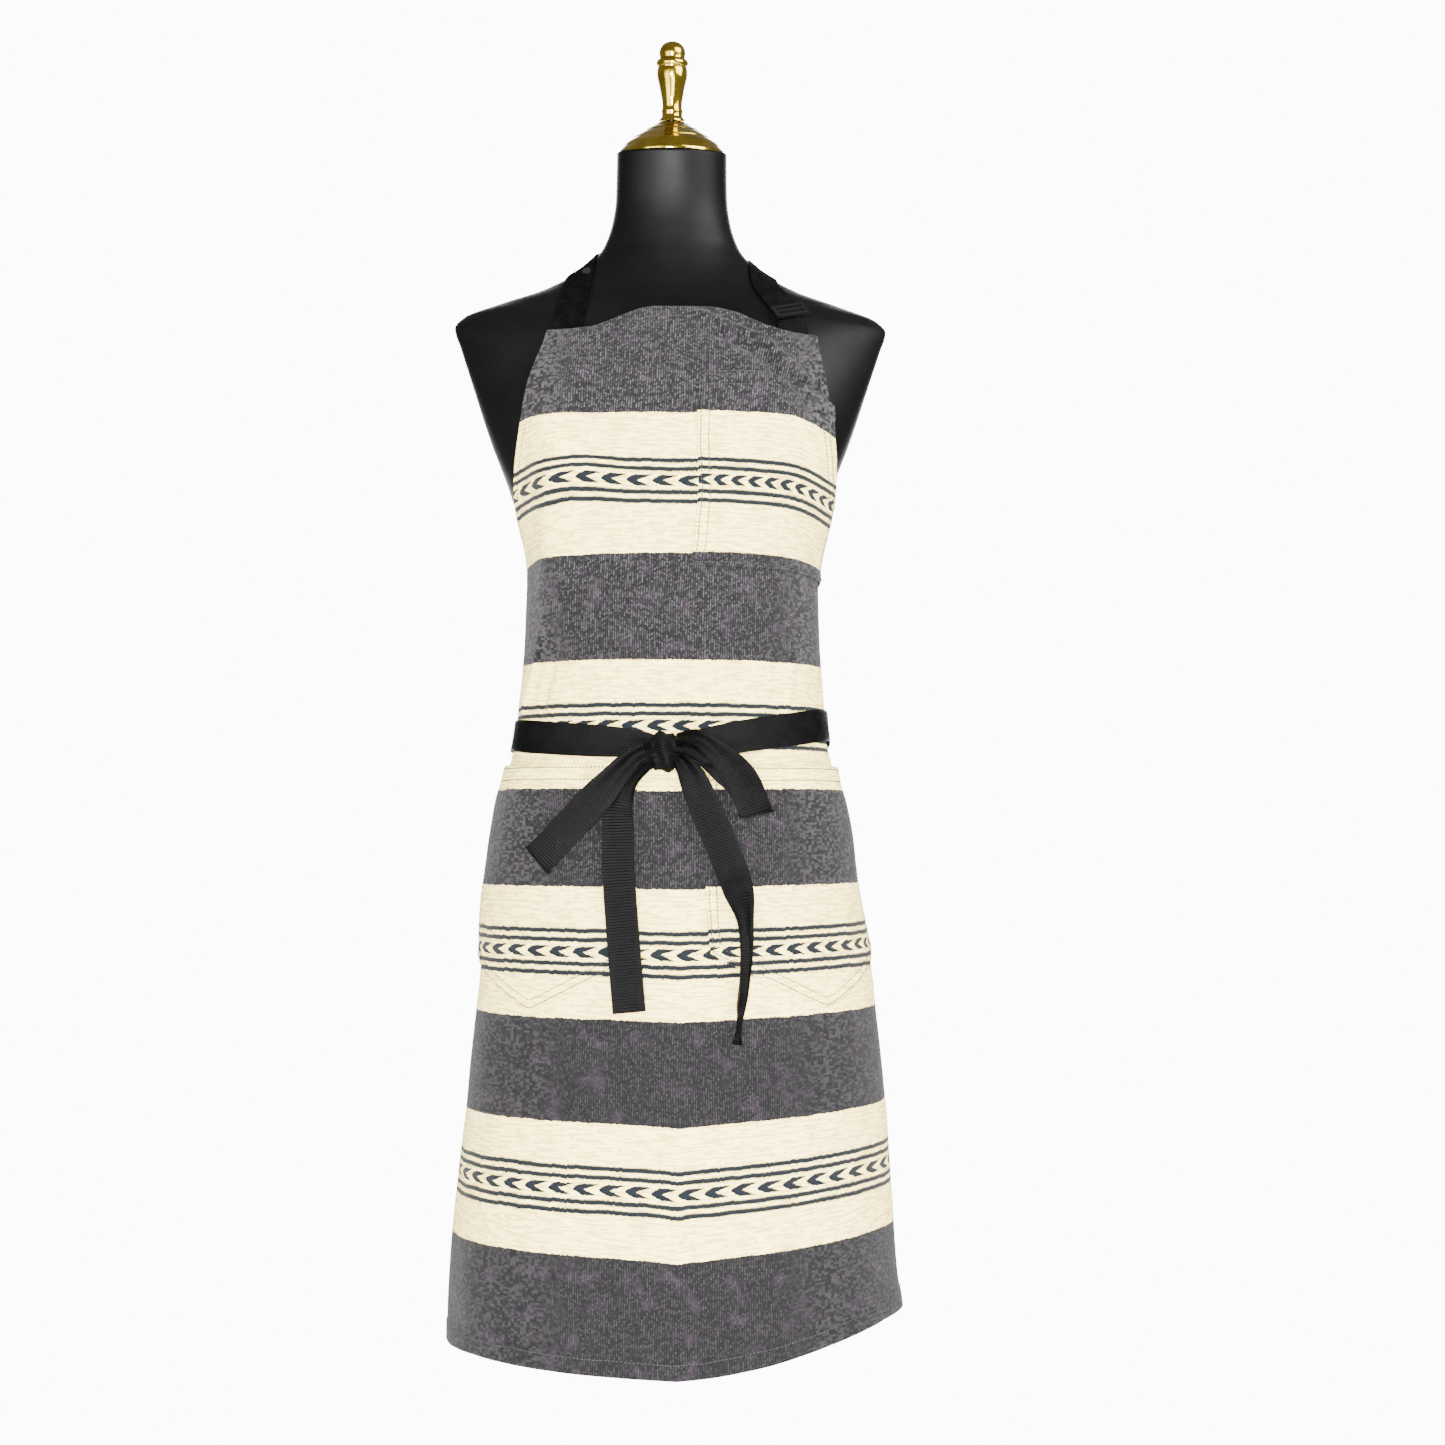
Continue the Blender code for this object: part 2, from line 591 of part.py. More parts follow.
def loop_points(start, bend, end, gap_start, gap_end):
    """Out along the front layer, round the far fold and back along the rear layer."""
    start, bend, end = Vector(start), Vector(bend), Vector(end)
    out = Vector(FORWARD)
    onward = (end - bend).normalized()
    return [start + out * gap_start, bend + out * (gap_start + gap_end) / 2, end + out * gap_end * 0.55,
            end + onward * gap_end * 0.5, end - out * gap_end * 0.45, bend - out * 0.0015,
            start - out * 0.0005]


def in_front(x, z, off):
    """A point that stands off in front of the skirt."""
    px, py = half_outline(HANG, z)
    keep = int(np.argmax(px)) + 1
    return (x, float(np.interp(abs(x), px[:keep], py[:keep])) - off, z)


def build_bow(coll):
    """Two loops and two tails, which hang from the knot in front of the skirt."""
    front = knot_front()
    loop = loop_points((-0.0245, front - 0.0175, 0.2985), in_front(-0.060, 0.258, 0.022),
                       in_front(-0.097, 0.2250, 0.022), 0.006, 0.009)
    widths = ((0, 0.012), (0.2, RIBBON), (0.8, RIBBON), (1, 0.012))
    sheet("bow_loop_left", strip_rows(loop, widths, aim_for(loop), 34), RIBBON_THICK, coll, WEBBING)
    loop = loop_points((0.0250, front - 0.0175, 0.3000), in_front(0.045, 0.286, 0.022),
                       in_front(0.061, 0.2620, 0.021), 0.006, 0.010)
    widths = ((0, 0.012), (0.25, RIBBON), (0.75, RIBBON), (1, 0.012))
    sheet("bow_loop_right", strip_rows(loop, widths, aim_for(loop), 34), RIBBON_THICK, coll, WEBBING)
    tail = [(-0.0110, front - 0.0155, 0.2785), in_front(-0.026, 0.268, 0.0135),
            in_front(-0.039, 0.240, 0.0115), in_front(-0.0385, 0.190, 0.0115),
            in_front(-0.0355, 0.140, 0.0110), in_front(-0.0335, 0.1015, 0.0105)]
    widths = ((0, 0.012), (0.15, 0.022), (0.3, RIBBON), (1, RIBBON))
    sheet("bow_tail_left", strip_rows(tail, widths, FORWARD, 22), RIBBON_THICK, coll, WEBBING)
    tail = [(0.0110, front - 0.0155, 0.2785), in_front(0.024, 0.266, 0.0140), in_front(0.042, 0.230, 0.0125),
            in_front(0.056, 0.190, 0.0125), in_front(0.061, 0.150, 0.0120), in_front(0.0585, 0.110, 0.0110),
            in_front(0.0545, 0.079, 0.0105)]
    widths = ((0, 0.012), (0.15, 0.023), (0.5, 0.0235), (0.75, 0.011), (1, 0.006))
    sheet("bow_tail_right", strip_rows(tail, widths, FORWARD, 26), RIBBON_THICK, coll, WEBBING)


def aim_for(points):
    """The direction that the flat of a loop faces, level with its run."""
    run = Vector(points[2]) - Vector(points[0])
    run.y = 0.0
    return run.normalized().cross(Vector(FORWARD)).cross(run.normalized())


def surface_tree(obj):
    """The form's outer surface, without its wall's inner side."""
    points = [vert.co.copy() for vert in obj.data.vertices]
    return BVHTree.FromPolygons(points, [tuple(face.vertices) for face in obj.data.polygons])


def on_form(tree, point, lift):
    """The nearest spot on the form's outside to a point, lifted off it."""
    spot, normal, _, _ = tree.find_nearest(Vector(point))
    if normal.dot(Vector((spot.x, spot.y, 0.02))) < 0:
        normal = -normal
    return spot + normal * lift, normal


def wrapped_rows(tree, points, widths, count, columns=3, lift=STRAP_LIFT):
    """Ribbon rows that lie on the form along a path."""
    fine = [on_form(tree, p, lift) for p in spline(points, count)]
    width_at = steady_curve(widths)
    rows = []
    for k, (p, normal) in enumerate(fine):
        ahead, behind = fine[min(k + 2, count - 1)][0], fine[max(k - 2, 0)][0]
        tangent = (ahead - behind).normalized()
        across = tangent.cross(normal).normalized()
        half = width_at(k / (count - 1)) / 2
        row = []
        for j in range(columns):
            guess = p + across * half * (2 * j / (columns - 1) - 1) + normal * 0.004
            row.append(on_form(tree, guess, lift)[0])
        rows.append(row)
    return smooth_rows(rows)


def smooth_rows(rows, passes=3):
    """Evens out each lengthwise line of a ribbon, because webbing doesn't follow small bumps."""
    for _ in range(passes):
        new = [rows[0]]
        for before, here, after in zip(rows, rows[1:], rows[2:]):
            new.append([(b + 2 * h + a) / 4 for b, h, a in zip(before, here, after)])
        rows = new + [rows[-1]]
    return rows


STRAP_PATH = ((-0.0850, -0.0810, 0.6500), (-0.0820, -0.0690, 0.6720), (-0.0785, -0.0460, 0.7030),
              (-0.0730, -0.0150, 0.7220), (-0.0630, 0.0220, 0.7330), (-0.0420, 0.0500, 0.7380),
              (0.0000, 0.0620, 0.7360), (0.0410, 0.0520, 0.7350), (0.0640, 0.0240, 0.7250),
              (0.0720, -0.0120, 0.7150), (0.0770, -0.0400, 0.7020), (0.0860, -0.0570, 0.6900),
              (0.0960, -0.0680, 0.6720))
TAB_PATH = ((0.0985, -0.0700, 0.6660), (0.1015, -0.0785, 0.6480))
SLIDER_SIZE = (0.030, 0.013, 0.0022)
SLIDER_BAR = 0.0028
SLIDER_RISE, SLIDER_STAND_OFF = 0.003, 0.0036


def build_neck_straps(coll, torso):
    tree = surface_tree(torso)
    width = ((0, RIBBON), (1, RIBBON))
    sheet("neck_strap", wrapped_rows(tree, STRAP_PATH, width, 56), RIBBON_THICK, coll, WEBBING)
    sheet("neck_strap_tab", wrapped_rows(tree, TAB_PATH, width, 3), RIBBON_THICK, coll, WEBBING)
    build_slider(coll, tree)
    spot, normal = on_form(tree, (-0.0700, -0.0431, 0.7075), STRAP_LIFT + RIBBON_THICK / 2 + 0.0012)
    stud = cylinder("strap_stud", 0.0035, -0.0006, 0.0012, coll, segments=16)
    stud.rotation_mode = "QUATERNION"
    stud.rotation_quaternion = normal.to_track_quat("Z", "Y")
    stud.location = spot


def slider_frame(tree):
    """The slider's place, its long side's direction, its sliding direction and its outward face."""
    top, normal = on_form(tree, STRAP_PATH[-2], STRAP_LIFT)
    low = on_form(tree, TAB_PATH[0], STRAP_LIFT)[0]
    slide = (top - low).normalized()
    out = (normal - slide * normal.dot(slide)).normalized()
    return low + slide * SLIDER_RISE + out * SLIDER_STAND_OFF, slide.cross(out).normalized(), slide, out


def build_slider(coll, tree):
    spot, long_way, slide, out = slider_frame(tree)
    length, height, thick = SLIDER_SIZE
    curve = bpy.data.curves.new("slider_outline", "CURVE")
    curve.dimensions = "2D"
    curve.fill_mode = "BOTH"
    curve.extrude = thick / 2
    slot = (height - 3 * SLIDER_BAR) / 2
    windows = [(0.0, side * (slot + SLIDER_BAR) / 2, length / 2 - SLIDER_BAR, slot / 2) for side in (-1, 1)]
    for x, y, half_x, half_y in ((0.0, 0.0, length / 2, height / 2), *windows):
        line = curve.splines.new("POLY")
        line.points.add(3)
        for point, (sx, sy) in zip(line.points, ((-1, -1), (1, -1), (1, 1), (-1, 1))):
            point.co = (x + sx * half_x, y + sy * half_y, 0.0, 1.0)
        line.use_cyclic_u = True
    shape = bpy.data.objects.new("slider_shape", curve)
    coll.objects.link(shape)
    depsgraph = bpy.context.evaluated_depsgraph_get()
    mesh = bpy.data.meshes.new_from_object(shape.evaluated_get(depsgraph))
    bpy.data.objects.remove(shape)
    bm = bmesh.new()
    bm.from_mesh(mesh)
    bmesh.ops.remove_doubles(bm, verts=bm.verts, dist=0.00002)
    bm.to_mesh(mesh)
    bm.free()
    obj = add_object("strap_slider", mesh, coll, BLACK_PLASTIC)
    basis = Matrix((long_way, slide, out)).transposed().to_4x4()
    obj.matrix_world = Matrix.Translation(spot) @ basis


def main():
    clear_scene()
    coll = new_collection("apron_on_dress_form")
    cutters = new_collection("cutters")
    torso = build_torso(coll)
    build_neck_hardware(coll)
    build_stand_hardware(coll, cutters)
    build_panel(coll)
    build_pockets(coll)
    build_waist_ties(coll)
    build_knot(coll)
    build_bow(coll)
    build_neck_straps(coll, torso)


main()
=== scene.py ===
"""The looks of a striped bib apron on a black dress form: woven cloth, grosgrain ties and bow, gold neck cap.

Metres, +Z up, the form faces -Y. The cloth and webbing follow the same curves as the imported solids, and are
described in the cloth's own flat measures: across from its centre line, and down from its top edge.
"""

import math

import bmesh
import bpy
import numpy as np
from mathutils import Matrix, Vector
from mathutils.bvhtree import BVHTree


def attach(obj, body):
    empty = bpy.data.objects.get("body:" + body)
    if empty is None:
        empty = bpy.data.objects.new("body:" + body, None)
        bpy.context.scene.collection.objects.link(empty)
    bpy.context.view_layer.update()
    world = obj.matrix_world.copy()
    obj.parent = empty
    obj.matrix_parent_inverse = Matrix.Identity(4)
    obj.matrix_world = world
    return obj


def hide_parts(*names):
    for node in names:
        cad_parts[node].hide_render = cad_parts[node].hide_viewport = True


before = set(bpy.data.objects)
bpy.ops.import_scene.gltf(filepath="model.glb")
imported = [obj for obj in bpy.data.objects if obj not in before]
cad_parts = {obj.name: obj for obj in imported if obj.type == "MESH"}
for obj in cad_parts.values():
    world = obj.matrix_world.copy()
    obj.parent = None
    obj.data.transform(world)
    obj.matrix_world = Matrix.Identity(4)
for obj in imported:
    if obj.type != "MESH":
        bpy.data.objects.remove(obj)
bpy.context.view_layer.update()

ROOT = "form_and_apron"

# ---- the form: height, half width, front depth, back depth
FORM_STATIONS = (
    (0.0, 0.154, 0.1, 0.108), (0.06, 0.154, 0.106, 0.117), (0.13, 0.15, 0.106, 0.117),
    (0.2, 0.1445, 0.1, 0.106), (0.265, 0.133, 0.091, 0.09), (0.325, 0.12, 0.085, 0.077),
    (0.4, 0.1165, 0.089, 0.079), (0.46, 0.116, 0.097, 0.084), (0.52, 0.1325, 0.1035, 0.091),
    (0.565, 0.1495, 0.105, 0.095), (0.61, 0.1645, 0.097, 0.096), (0.645, 0.176, 0.086, 0.094),
    (0.663, 0.1815, 0.076, 0.09), (0.673, 0.174, 0.069, 0.085), (0.684, 0.148, 0.062, 0.079),
    (0.699, 0.107, 0.055, 0.071), (0.719, 0.073, 0.05, 0.061), (0.738, 0.057, 0.047, 0.053),
    (0.76, 0.05, 0.046, 0.049), (0.78, 0.0475, 0.046, 0.047), (0.82, 0.0465, 0.0465, 0.0465),
)
NECK_TILT, NECK_END = math.radians(11), 0.82
TILT_LOW, TILT_RUN = 0.75, 0.045
CLOTH_STATIONS = (
    (-0.21, 0.1925, 0.138, 0.133), (-0.1, 0.183, 0.131, 0.13), (-0.02, 0.177, 0.1255, 0.128),
    (0.06, 0.1695, 0.121, 0.126), (0.13, 0.1625, 0.117, 0.124), (0.2, 0.1545, 0.1095, 0.114),
    (0.265, 0.1445, 0.1, 0.099), (0.29, 0.137, 0.096, 0.092), (0.318, 0.131, 0.0925, 0.086),
    (0.345, 0.1285, 0.0935, 0.084), (0.4, 0.124, 0.0985, 0.086), (0.46, 0.1225, 0.1075, 0.091),
    (0.52, 0.1375, 0.116, 0.097), (0.57, 0.155, 0.118, 0.101), (0.61, 0.169, 0.111, 0.102),
    (0.64, 0.179, 0.1, 0.101), (0.68, 0.185, 0.085, 0.098),
)
ROUNDNESS, ARM_FLAT, ARM_LOW, ARM_HIGH = 0.92, 1.06, 0.46, 0.56
BUST_LIFT, BUST_X, BUST_Z, BUST_SIZE = 0.008, 0.075, 0.56, 0.036
BIB_TOP, HEM_BOTTOM = 0.666, -0.175
BIB_SHIFT, BIB_DROP, BIB_FLAT, BIB_CORNER = 0.01, 0.021, 0.022, 0.084
SIDE_WIDTHS = ((0.0, 0.111), (0.08, 0.129), (0.12, 0.1415), (0.2, 0.178), (0.27, 0.232), (0.345, 0.3))
HEM_RISE, HEM_RISE_LEFT, ROW_RISE = 0.021, 0.006, 0.01
WAIST_SWAY, SKIRT_SWAY, SWAY_TOP, SWAY_RUN = 0.0025, 0.006, 0.2, 0.09
SWAY_END, SWAY_FADE = 0.48, 0.1

# ---- the cloth's stripes, hems and pockets, measured down from the top edge
CREAM_BANDS = ((0.0945, 0.2085), (0.2933, 0.3988), (0.4765, 0.578), (0.6573, 0.7578))
CLOTH = 0.0008
SIDE_HEM, TOP_HEM, BOTTOM_HEM = 0.0085, 0.0105, 0.013
HIP_INNER, HIP_OUTER = 0.027, 0.217
HIP_TOP, HIP_SIDE, HIP_TIP = 0.3776, 0.526, 0.574
CHEST_INNER, CHEST_TOP, CHEST_BOTTOM = 0.015, 0.062, 0.218
BELT_DOWN = 0.352
PANEL_HALF = 0.3

# ---- webbing
RIBBON, RIB_PITCH, RIBBON_THICK = 0.0254, 0.0023, 0.0008
COLUMNS = 9  # points across a ribbon
KNOT_Z = 0.3025
BESIDE_KNOT, BELOW_KNOT = 0.03, 0.28
KNOT_DEEP, KNOT_HIGH = 0.008, 0.0145
BOW_NODES = ("bow_loop_left", "bow_tail_left", "bow_loop_right", "bow_tail_right")
SEWN_AT = 0.285
STRAP_LIFT = 0.0019
STRAP_PATH = (
    (-0.085, -0.081, 0.65), (-0.082, -0.069, 0.672), (-0.0785, -0.046, 0.703), (-0.073, -0.015, 0.722),
    (-0.063, 0.022, 0.733), (-0.042, 0.05, 0.738), (0.0, 0.062, 0.736), (0.041, 0.052, 0.735),
    (0.064, 0.024, 0.725), (0.072, -0.012, 0.715), (0.077, -0.04, 0.702), (0.086, -0.057, 0.69),
    (0.096, -0.068, 0.672),
)
TAB_PATH = ((0.0985, -0.07, 0.666), (0.1015, -0.0785, 0.648))

# ---- the gold cap and finial: radius, and height above the neck's end along its leaning line
CAP_PROFILE = (
    (0.0036, 0.0282), (0.0112, 0.0281), (0.012, 0.0276), (0.0134, 0.027), (0.0158, 0.0257), (0.0162, 0.025),
    (0.0198, 0.0236), (0.023, 0.0217), (0.0233, 0.021), (0.0282, 0.0184), (0.0328, 0.0152), (0.0331, 0.0144),
    (0.0376, 0.0114), (0.041, 0.0085), (0.0413, 0.0077), (0.0433, 0.0057), (0.0448, 0.0038),
    (0.0453, 0.0032), (0.0458, 0.0024), (0.046, 0.0015), (0.0459, 0.0004), (0.044, 0.0004), (0.042, 0.0022),
    (0.036, 0.0076), (0.027, 0.014), (0.018, 0.0208), (0.011, 0.0255), (0.0036, 0.0262),
)
FINIAL_PROFILE = (
    (0.0, 0.0952), (0.0028, 0.095), (0.005, 0.0944), (0.0071, 0.0933), (0.0087, 0.0919), (0.01, 0.0901),
    (0.0108, 0.0883), (0.0113, 0.0866), (0.0114, 0.0852), (0.0113, 0.0838), (0.0109, 0.0822),
    (0.011, 0.0808), (0.0118, 0.0801), (0.013, 0.0792), (0.0136, 0.0782), (0.0139, 0.077), (0.0138, 0.0758),
    (0.0132, 0.0746), (0.0125, 0.074), (0.0124, 0.0732), (0.0129, 0.0722), (0.0132, 0.07), (0.0131, 0.0665),
    (0.0128, 0.064), (0.0122, 0.0619), (0.011, 0.0569), (0.0101, 0.0526), (0.0094, 0.049), (0.0089, 0.0461),
    (0.0086, 0.043), (0.0084, 0.0405), (0.0086, 0.0392), (0.0091, 0.0384), (0.0093, 0.0372), (0.009, 0.0362),
    (0.0089, 0.0345), (0.009, 0.033), (0.0098, 0.0318), (0.0105, 0.031), (0.0111, 0.03), (0.0112, 0.0289),
    (0.0033, 0.0288), (0.0033, 0.0386), (0.0, 0.0388),
)


# ---- camera
def add_camera():
    data = bpy.data.cameras.new("view")
    cam = bpy.data.objects.new("view", data)
    bpy.context.scene.collection.objects.link(cam)
    data.lens, data.sensor_width, data.clip_end = 47.31, 36.0, 60.0
    cam.location = (0.0, -1.605, 0.235)
    up, right, roll = math.radians(3.54), math.radians(1.62), math.radians(0.2)
    turn = Matrix.Rotation(-right, 4, "Z") @ Matrix.Rotation(math.pi / 2 + up, 4, "X")
    cam.rotation_euler = (turn @ Matrix.Rotation(roll, 4, "Z")).to_euler()
    bpy.context.scene.camera = cam


# ---- curves and noise
def steady(pairs, column, x):
    """The smooth curve through the stations, without overshoot, at an array of places."""
    knots = np.array([p[0] for p in pairs])
    values = np.array([p[column] for p in pairs])
    step = np.diff(knots)
    slope = np.diff(values) / step
    tangent = np.zeros(len(knots))
    tangent[0], tangent[-1] = slope[0], slope[-1]
    before, after = slope[:-1], slope[1:]
    same = before * after > 0
    tangent[1:-1][same] = 2 * before[same] * after[same] / (before[same] + after[same])
    x = np.clip(x, knots[0], knots[-1])
    i = np.clip(np.searchsorted(knots, x) - 1, 0, len(step) - 1)
    t = (x - knots[i]) / step[i]
    ends = (1 + 2 * t) * (1 - t) ** 2 * values[i] + t * t * (3 - 2 * t) * values[i + 1]
    bends = t * (1 - t) ** 2 * tangent[i] + t * t * (t - 1) * tangent[i + 1]
    return ends + bends * step[i]


def ease(x):
    x = np.clip(x, 0.0, 1.0)
    return x * x * (3 - 2 * x)


def bump(x, size):
    return np.exp(-((x / size) ** 2))


def soft_noise(u, v, size, seed):
    """Smooth seeded noise from -1 to 1 over the flat cloth; size is one cell's width in metres."""
    lattice = np.random.default_rng(seed).uniform(-1, 1, (97, 97))
    a, b = np.asarray(u) / size + 41.3, np.asarray(v) / size + 7.7
    i, j = np.floor(a).astype(int), np.floor(b).astype(int)
    s, t = ease(a - i), ease(b - j)
    i, j, i2, j2 = i % 97, j % 97, (i + 1) % 97, (j + 1) % 97
    low = lattice[i, j] * (1 - s) + lattice[i2, j] * s
    high = lattice[i, j2] * (1 - s) + lattice[i2, j2] * s
    return low * (1 - t) + high * t


# ---- the hang of the cloth
def outlines(stations, heights, turn, soft):
    """Sections at many heights at once, from the front centre round +X to the back centre."""
    width, front, back = (steady(stations, k, heights)[:, None] for k in (1, 2, 3))
    flat = (1 + (ARM_FLAT - 1) * ease((heights - ARM_LOW) / (ARM_HIGH - ARM_LOW)))[:, None]
    x = flat * width * np.abs(np.sin(turn)) ** ROUNDNESS
    x = x - soft * np.logaddexp(0.0, (x - width) / soft)
    x = np.maximum(x + soft * math.log(2) * np.abs(np.sin(turn)), 0.0)
    depth = np.where(turn < math.pi / 2, -front, back)
    return np.minimum(x, width), depth * np.abs(np.cos(turn)) ** ROUNDNESS


def sway(z):
    """How far towards +X the whole section of cloth at that height hangs."""
    low = WAIST_SWAY + SKIRT_SWAY * ease((SWAY_TOP - z) / SWAY_RUN)
    return low * (1 - ease((z - SWAY_END) / SWAY_FADE))


class Hang:
    """The surface that the cloth hangs on, as a table over height and distance round the section."""

    LOW, HIGH, STEP, REACH = -0.212, 0.682, 0.001, 0.6

    def __init__(self):
        self.heights = np.arange(self.LOW, self.HIGH, self.STEP)
        turn = np.linspace(0.0, math.pi, 401)[None, :]
        x, y = outlines(CLOTH_STATIONS, self.heights, turn, 0.004)
        run = np.hypot(np.diff(x, axis=1), np.diff(y, axis=1)).cumsum(axis=1)
        run = np.concatenate((np.zeros((len(run), 1)), run), axis=1)
        self.half = run[:, -1]
        spots = np.arange(0.0, self.REACH, self.STEP)
        self.x = np.array([np.interp(spots, r, a) for r, a in zip(run, x)])
        self.y = np.array([np.interp(spots, r, a) for r, a in zip(run, y)])

    def place(self, z, along):
        """Points at heights z and distances along, which may run past the back centre."""
        z, along = np.broadcast_arrays(np.asarray(z, float), np.asarray(along, float))
        half = np.interp(z, self.heights, self.half)
        along = (along + half) % (2 * half) - half
        spot = np.clip(np.abs(along) / self.STEP, 0, self.x.shape[1] - 1.001)
        row = np.clip((z - self.LOW) / self.STEP, 0, len(self.heights) - 1.001)
        i, j = row.astype(int), spot.astype(int)
        s, t = row - i, spot - j

        def read(table):
            low = table[i, j] * (1 - t) + table[i, j + 1] * t
            high = table[i + 1, j] * (1 - t) + table[i + 1, j + 1] * t
            return low * (1 - s) + high * s

        return np.stack((np.where(along < 0, -1, 1) * read(self.x) + sway(z), read(self.y), z), axis=-1)

    def point(self, z, along, lift=0.0):
        """A point at that height and distance round, lifted off along the surface's normal."""
        probe = 0.003
        around = self.place(z, np.asarray(along) + probe) - self.place(z, np.asarray(along) - probe)
        upward = self.place(np.asarray(z) + probe, along) - self.place(np.asarray(z) - probe, along)
        normal = np.cross(around, upward)
        normal /= np.linalg.norm(normal, axis=-1, keepdims=True) + 1e-12
        return self.place(z, along) + normal * np.asarray(lift)[..., None]


HANG = Hang()


def centre_line():
    heights = np.arange(BIB_TOP, HEM_BOTTOM - 0.0021, -0.002)
    fronts = steady(CLOTH_STATIONS, 2, heights)
    run = np.concatenate(([0.0], np.hypot(np.diff(heights), np.diff(fronts)).cumsum()))
    return run, heights


CENTRE_RUN, CENTRE_HEIGHTS = centre_line()
# the cloth's creases: start and end on the flat cloth, half width, and how far each stands off
FOLDS = (
    ((0.01, 0.006), (0.072, 0.034), 0.0036, 0.0058), ((0.014, 0.018), (0.072, 0.046), 0.004, -0.004),
    ((0.06, 0.03), (0.116, 0.072), 0.004, 0.0058), ((0.058, 0.042), (0.112, 0.086), 0.0044, -0.0042),
    ((0.04, 0.004), (0.104, 0.034), 0.0042, 0.0026), ((-0.09, 0.01), (-0.06, 0.048), 0.006, 0.0014),
    ((-0.108, 0.255), (-0.14, 0.335), 0.0034, 0.004), ((-0.096, 0.27), (-0.116, 0.338), 0.0036, -0.0026),
    ((0.105, 0.285), (0.094, 0.338), 0.0028, 0.0036), ((0.088, 0.295), (0.082, 0.338), 0.003, -0.002),
    ((-0.06, 0.3), (-0.052, 0.338), 0.003, 0.0022), ((0.05, 0.292), (0.04, 0.338), 0.0032, 0.0022),
    ((-0.125, 0.12), (-0.09, 0.175), 0.006, 0.0014), ((0.02, 0.235), (0.06, 0.262), 0.006, 0.0012),
)
CLOTH_LENGTH = float(np.interp(-HEM_BOTTOM, -CENTRE_HEIGHTS, CENTRE_RUN))


def side_width(down):
    return steady(SIDE_WIDTHS, 1, np.asarray(down, float))


def top_edge(across):
    return BIB_DROP * ease((np.abs(across) - BIB_FLAT) / (BIB_CORNER - BIB_FLAT))


def bottom_edge(across):
    across = np.asarray(across)
    sides = HEM_RISE * ease(across / 0.21) + HEM_RISE_LEFT * ease(-across / 0.18)
    return CLOTH_LENGTH - sides - 0.0055 * np.exp(-np.abs(across) / 0.06)


def ridge(u, v, start, end, size):
    """1 along a straight fold line on the cloth, fading to its sides and its ends."""
    start, end = np.array(start), np.array(end)
    run = end - start
    share = ((u - start[0]) * run[0] + (v - start[1]) * run[1]) / (run @ run)
    off = ((u - start[0]) * run[1] - (v - start[1]) * run[0]) / math.hypot(*run)
    return bump(off, size) * ease(share * 4 + 0.5) * ease((1 - share) * 4 + 0.5)


def relief(u, v):
    """How far the cloth's folds stand off its plain hang, in metres."""
    skirt = ease((v - 0.36) / 0.25)
    out = 0.0012 * soft_noise(u, v, 0.085, 3) * (0.4 + skirt)
    out = out + 0.0006 * soft_noise(u, v * 0.6, 0.028, 5)
    out = out + 0.0085 * bump(u + 0.104, 0.022) * ease((v - 0.03) / 0.06) * (1 - ease((v - 0.22) / 0.09))
    out = out + skirt * 0.0022 * np.exp(-np.abs(u) / 0.009)
    out = out - skirt * 0.0014 * (bump(u - 0.045, 0.03) + bump(u + 0.045, 0.03))
    out = out + 0.0012 * ridge(u, v, (0.008, 0.27), (0.01, 0.345), 0.004)
    for start, end, size, height in FOLDS:
        out = out + height * ridge(u, v, start, end, size)
    gather = bump(v - 0.332, 0.026) + 0.7 * bump(v - 0.374, 0.022)
    out = out + 0.001 * gather * soft_noise(u, v * 0.15, 0.012, 8)
    squeeze = bump(v - BELT_DOWN, 0.013)
    out = out * (1 - 0.8 * squeeze) - 0.0008 * squeeze
    flutter = ease((np.abs(u) - 0.2) / 0.1) * skirt
    return out + flutter * 0.004 * np.sin(v * 21 + 1.3 * np.sign(u))


def hem_relief(u, v):
    """The doubled cloth of the turned hems, and the dimple that their stitching pulls in."""
    side, top, low = side_width(v) - np.abs(u), v - top_edge(u), bottom_edge(u) - v
    doubled = pucker = np.zeros(np.broadcast(u, v).shape)
    for inside, width in ((side, SIDE_HEM), (top, TOP_HEM), (low, BOTTOM_HEM)):
        doubled = np.maximum(doubled, 0.0007 * ease((width + 0.0012 - inside) / 0.0016))
        pucker = np.maximum(pucker, bump(inside - width + 0.0012, 0.0011))
    wave = 0.00035 * soft_noise(u, v, 0.007, 11) * ease((0.016 - np.minimum(side, low)) / 0.01)
    return doubled - 0.0004 * pucker + wave


def row_sag(u, v):
    """How far the bib's rows droop towards its sides and its middle, less the lift over the chest."""
    right = np.interp(v, (0.095, 0.15, 0.21, 0.28), (0.014, 0.009, 0.003, 0.0)) * ease((u - 0.085) / 0.07)
    left = np.interp(v, (0.095, 0.15, 0.21, 0.28), (0.009, 0.004, 0.002, 0.0)) * ease((-u - 0.115) / 0.05)
    middle = 0.003 * bump(v - 0.095, 0.03) - 0.0055 * bump(u + 0.085, 0.035) * bump(v - 0.15, 0.035)
    return (right + left + middle) * ease(v / 0.08)


def cloth(u, v, lift=0.0):
    """Where points of the flat cloth hang, folds included."""
    u, v = np.broadcast_arrays(np.asarray(u, float), np.asarray(v, float))
    skirt = ease((v - 0.33) / 0.5)
    rise = ROW_RISE * skirt * ease(u / 0.22) - 0.0055 * skirt * np.exp(-np.abs(u) / 0.045)
    shift = BIB_SHIFT * (1 - ease(v / 0.28))
    z = np.interp(v, CENTRE_RUN, CENTRE_HEIGHTS) + rise - row_sag(u, v)
    return HANG.point(z, u + shift, relief(u, v) + lift)


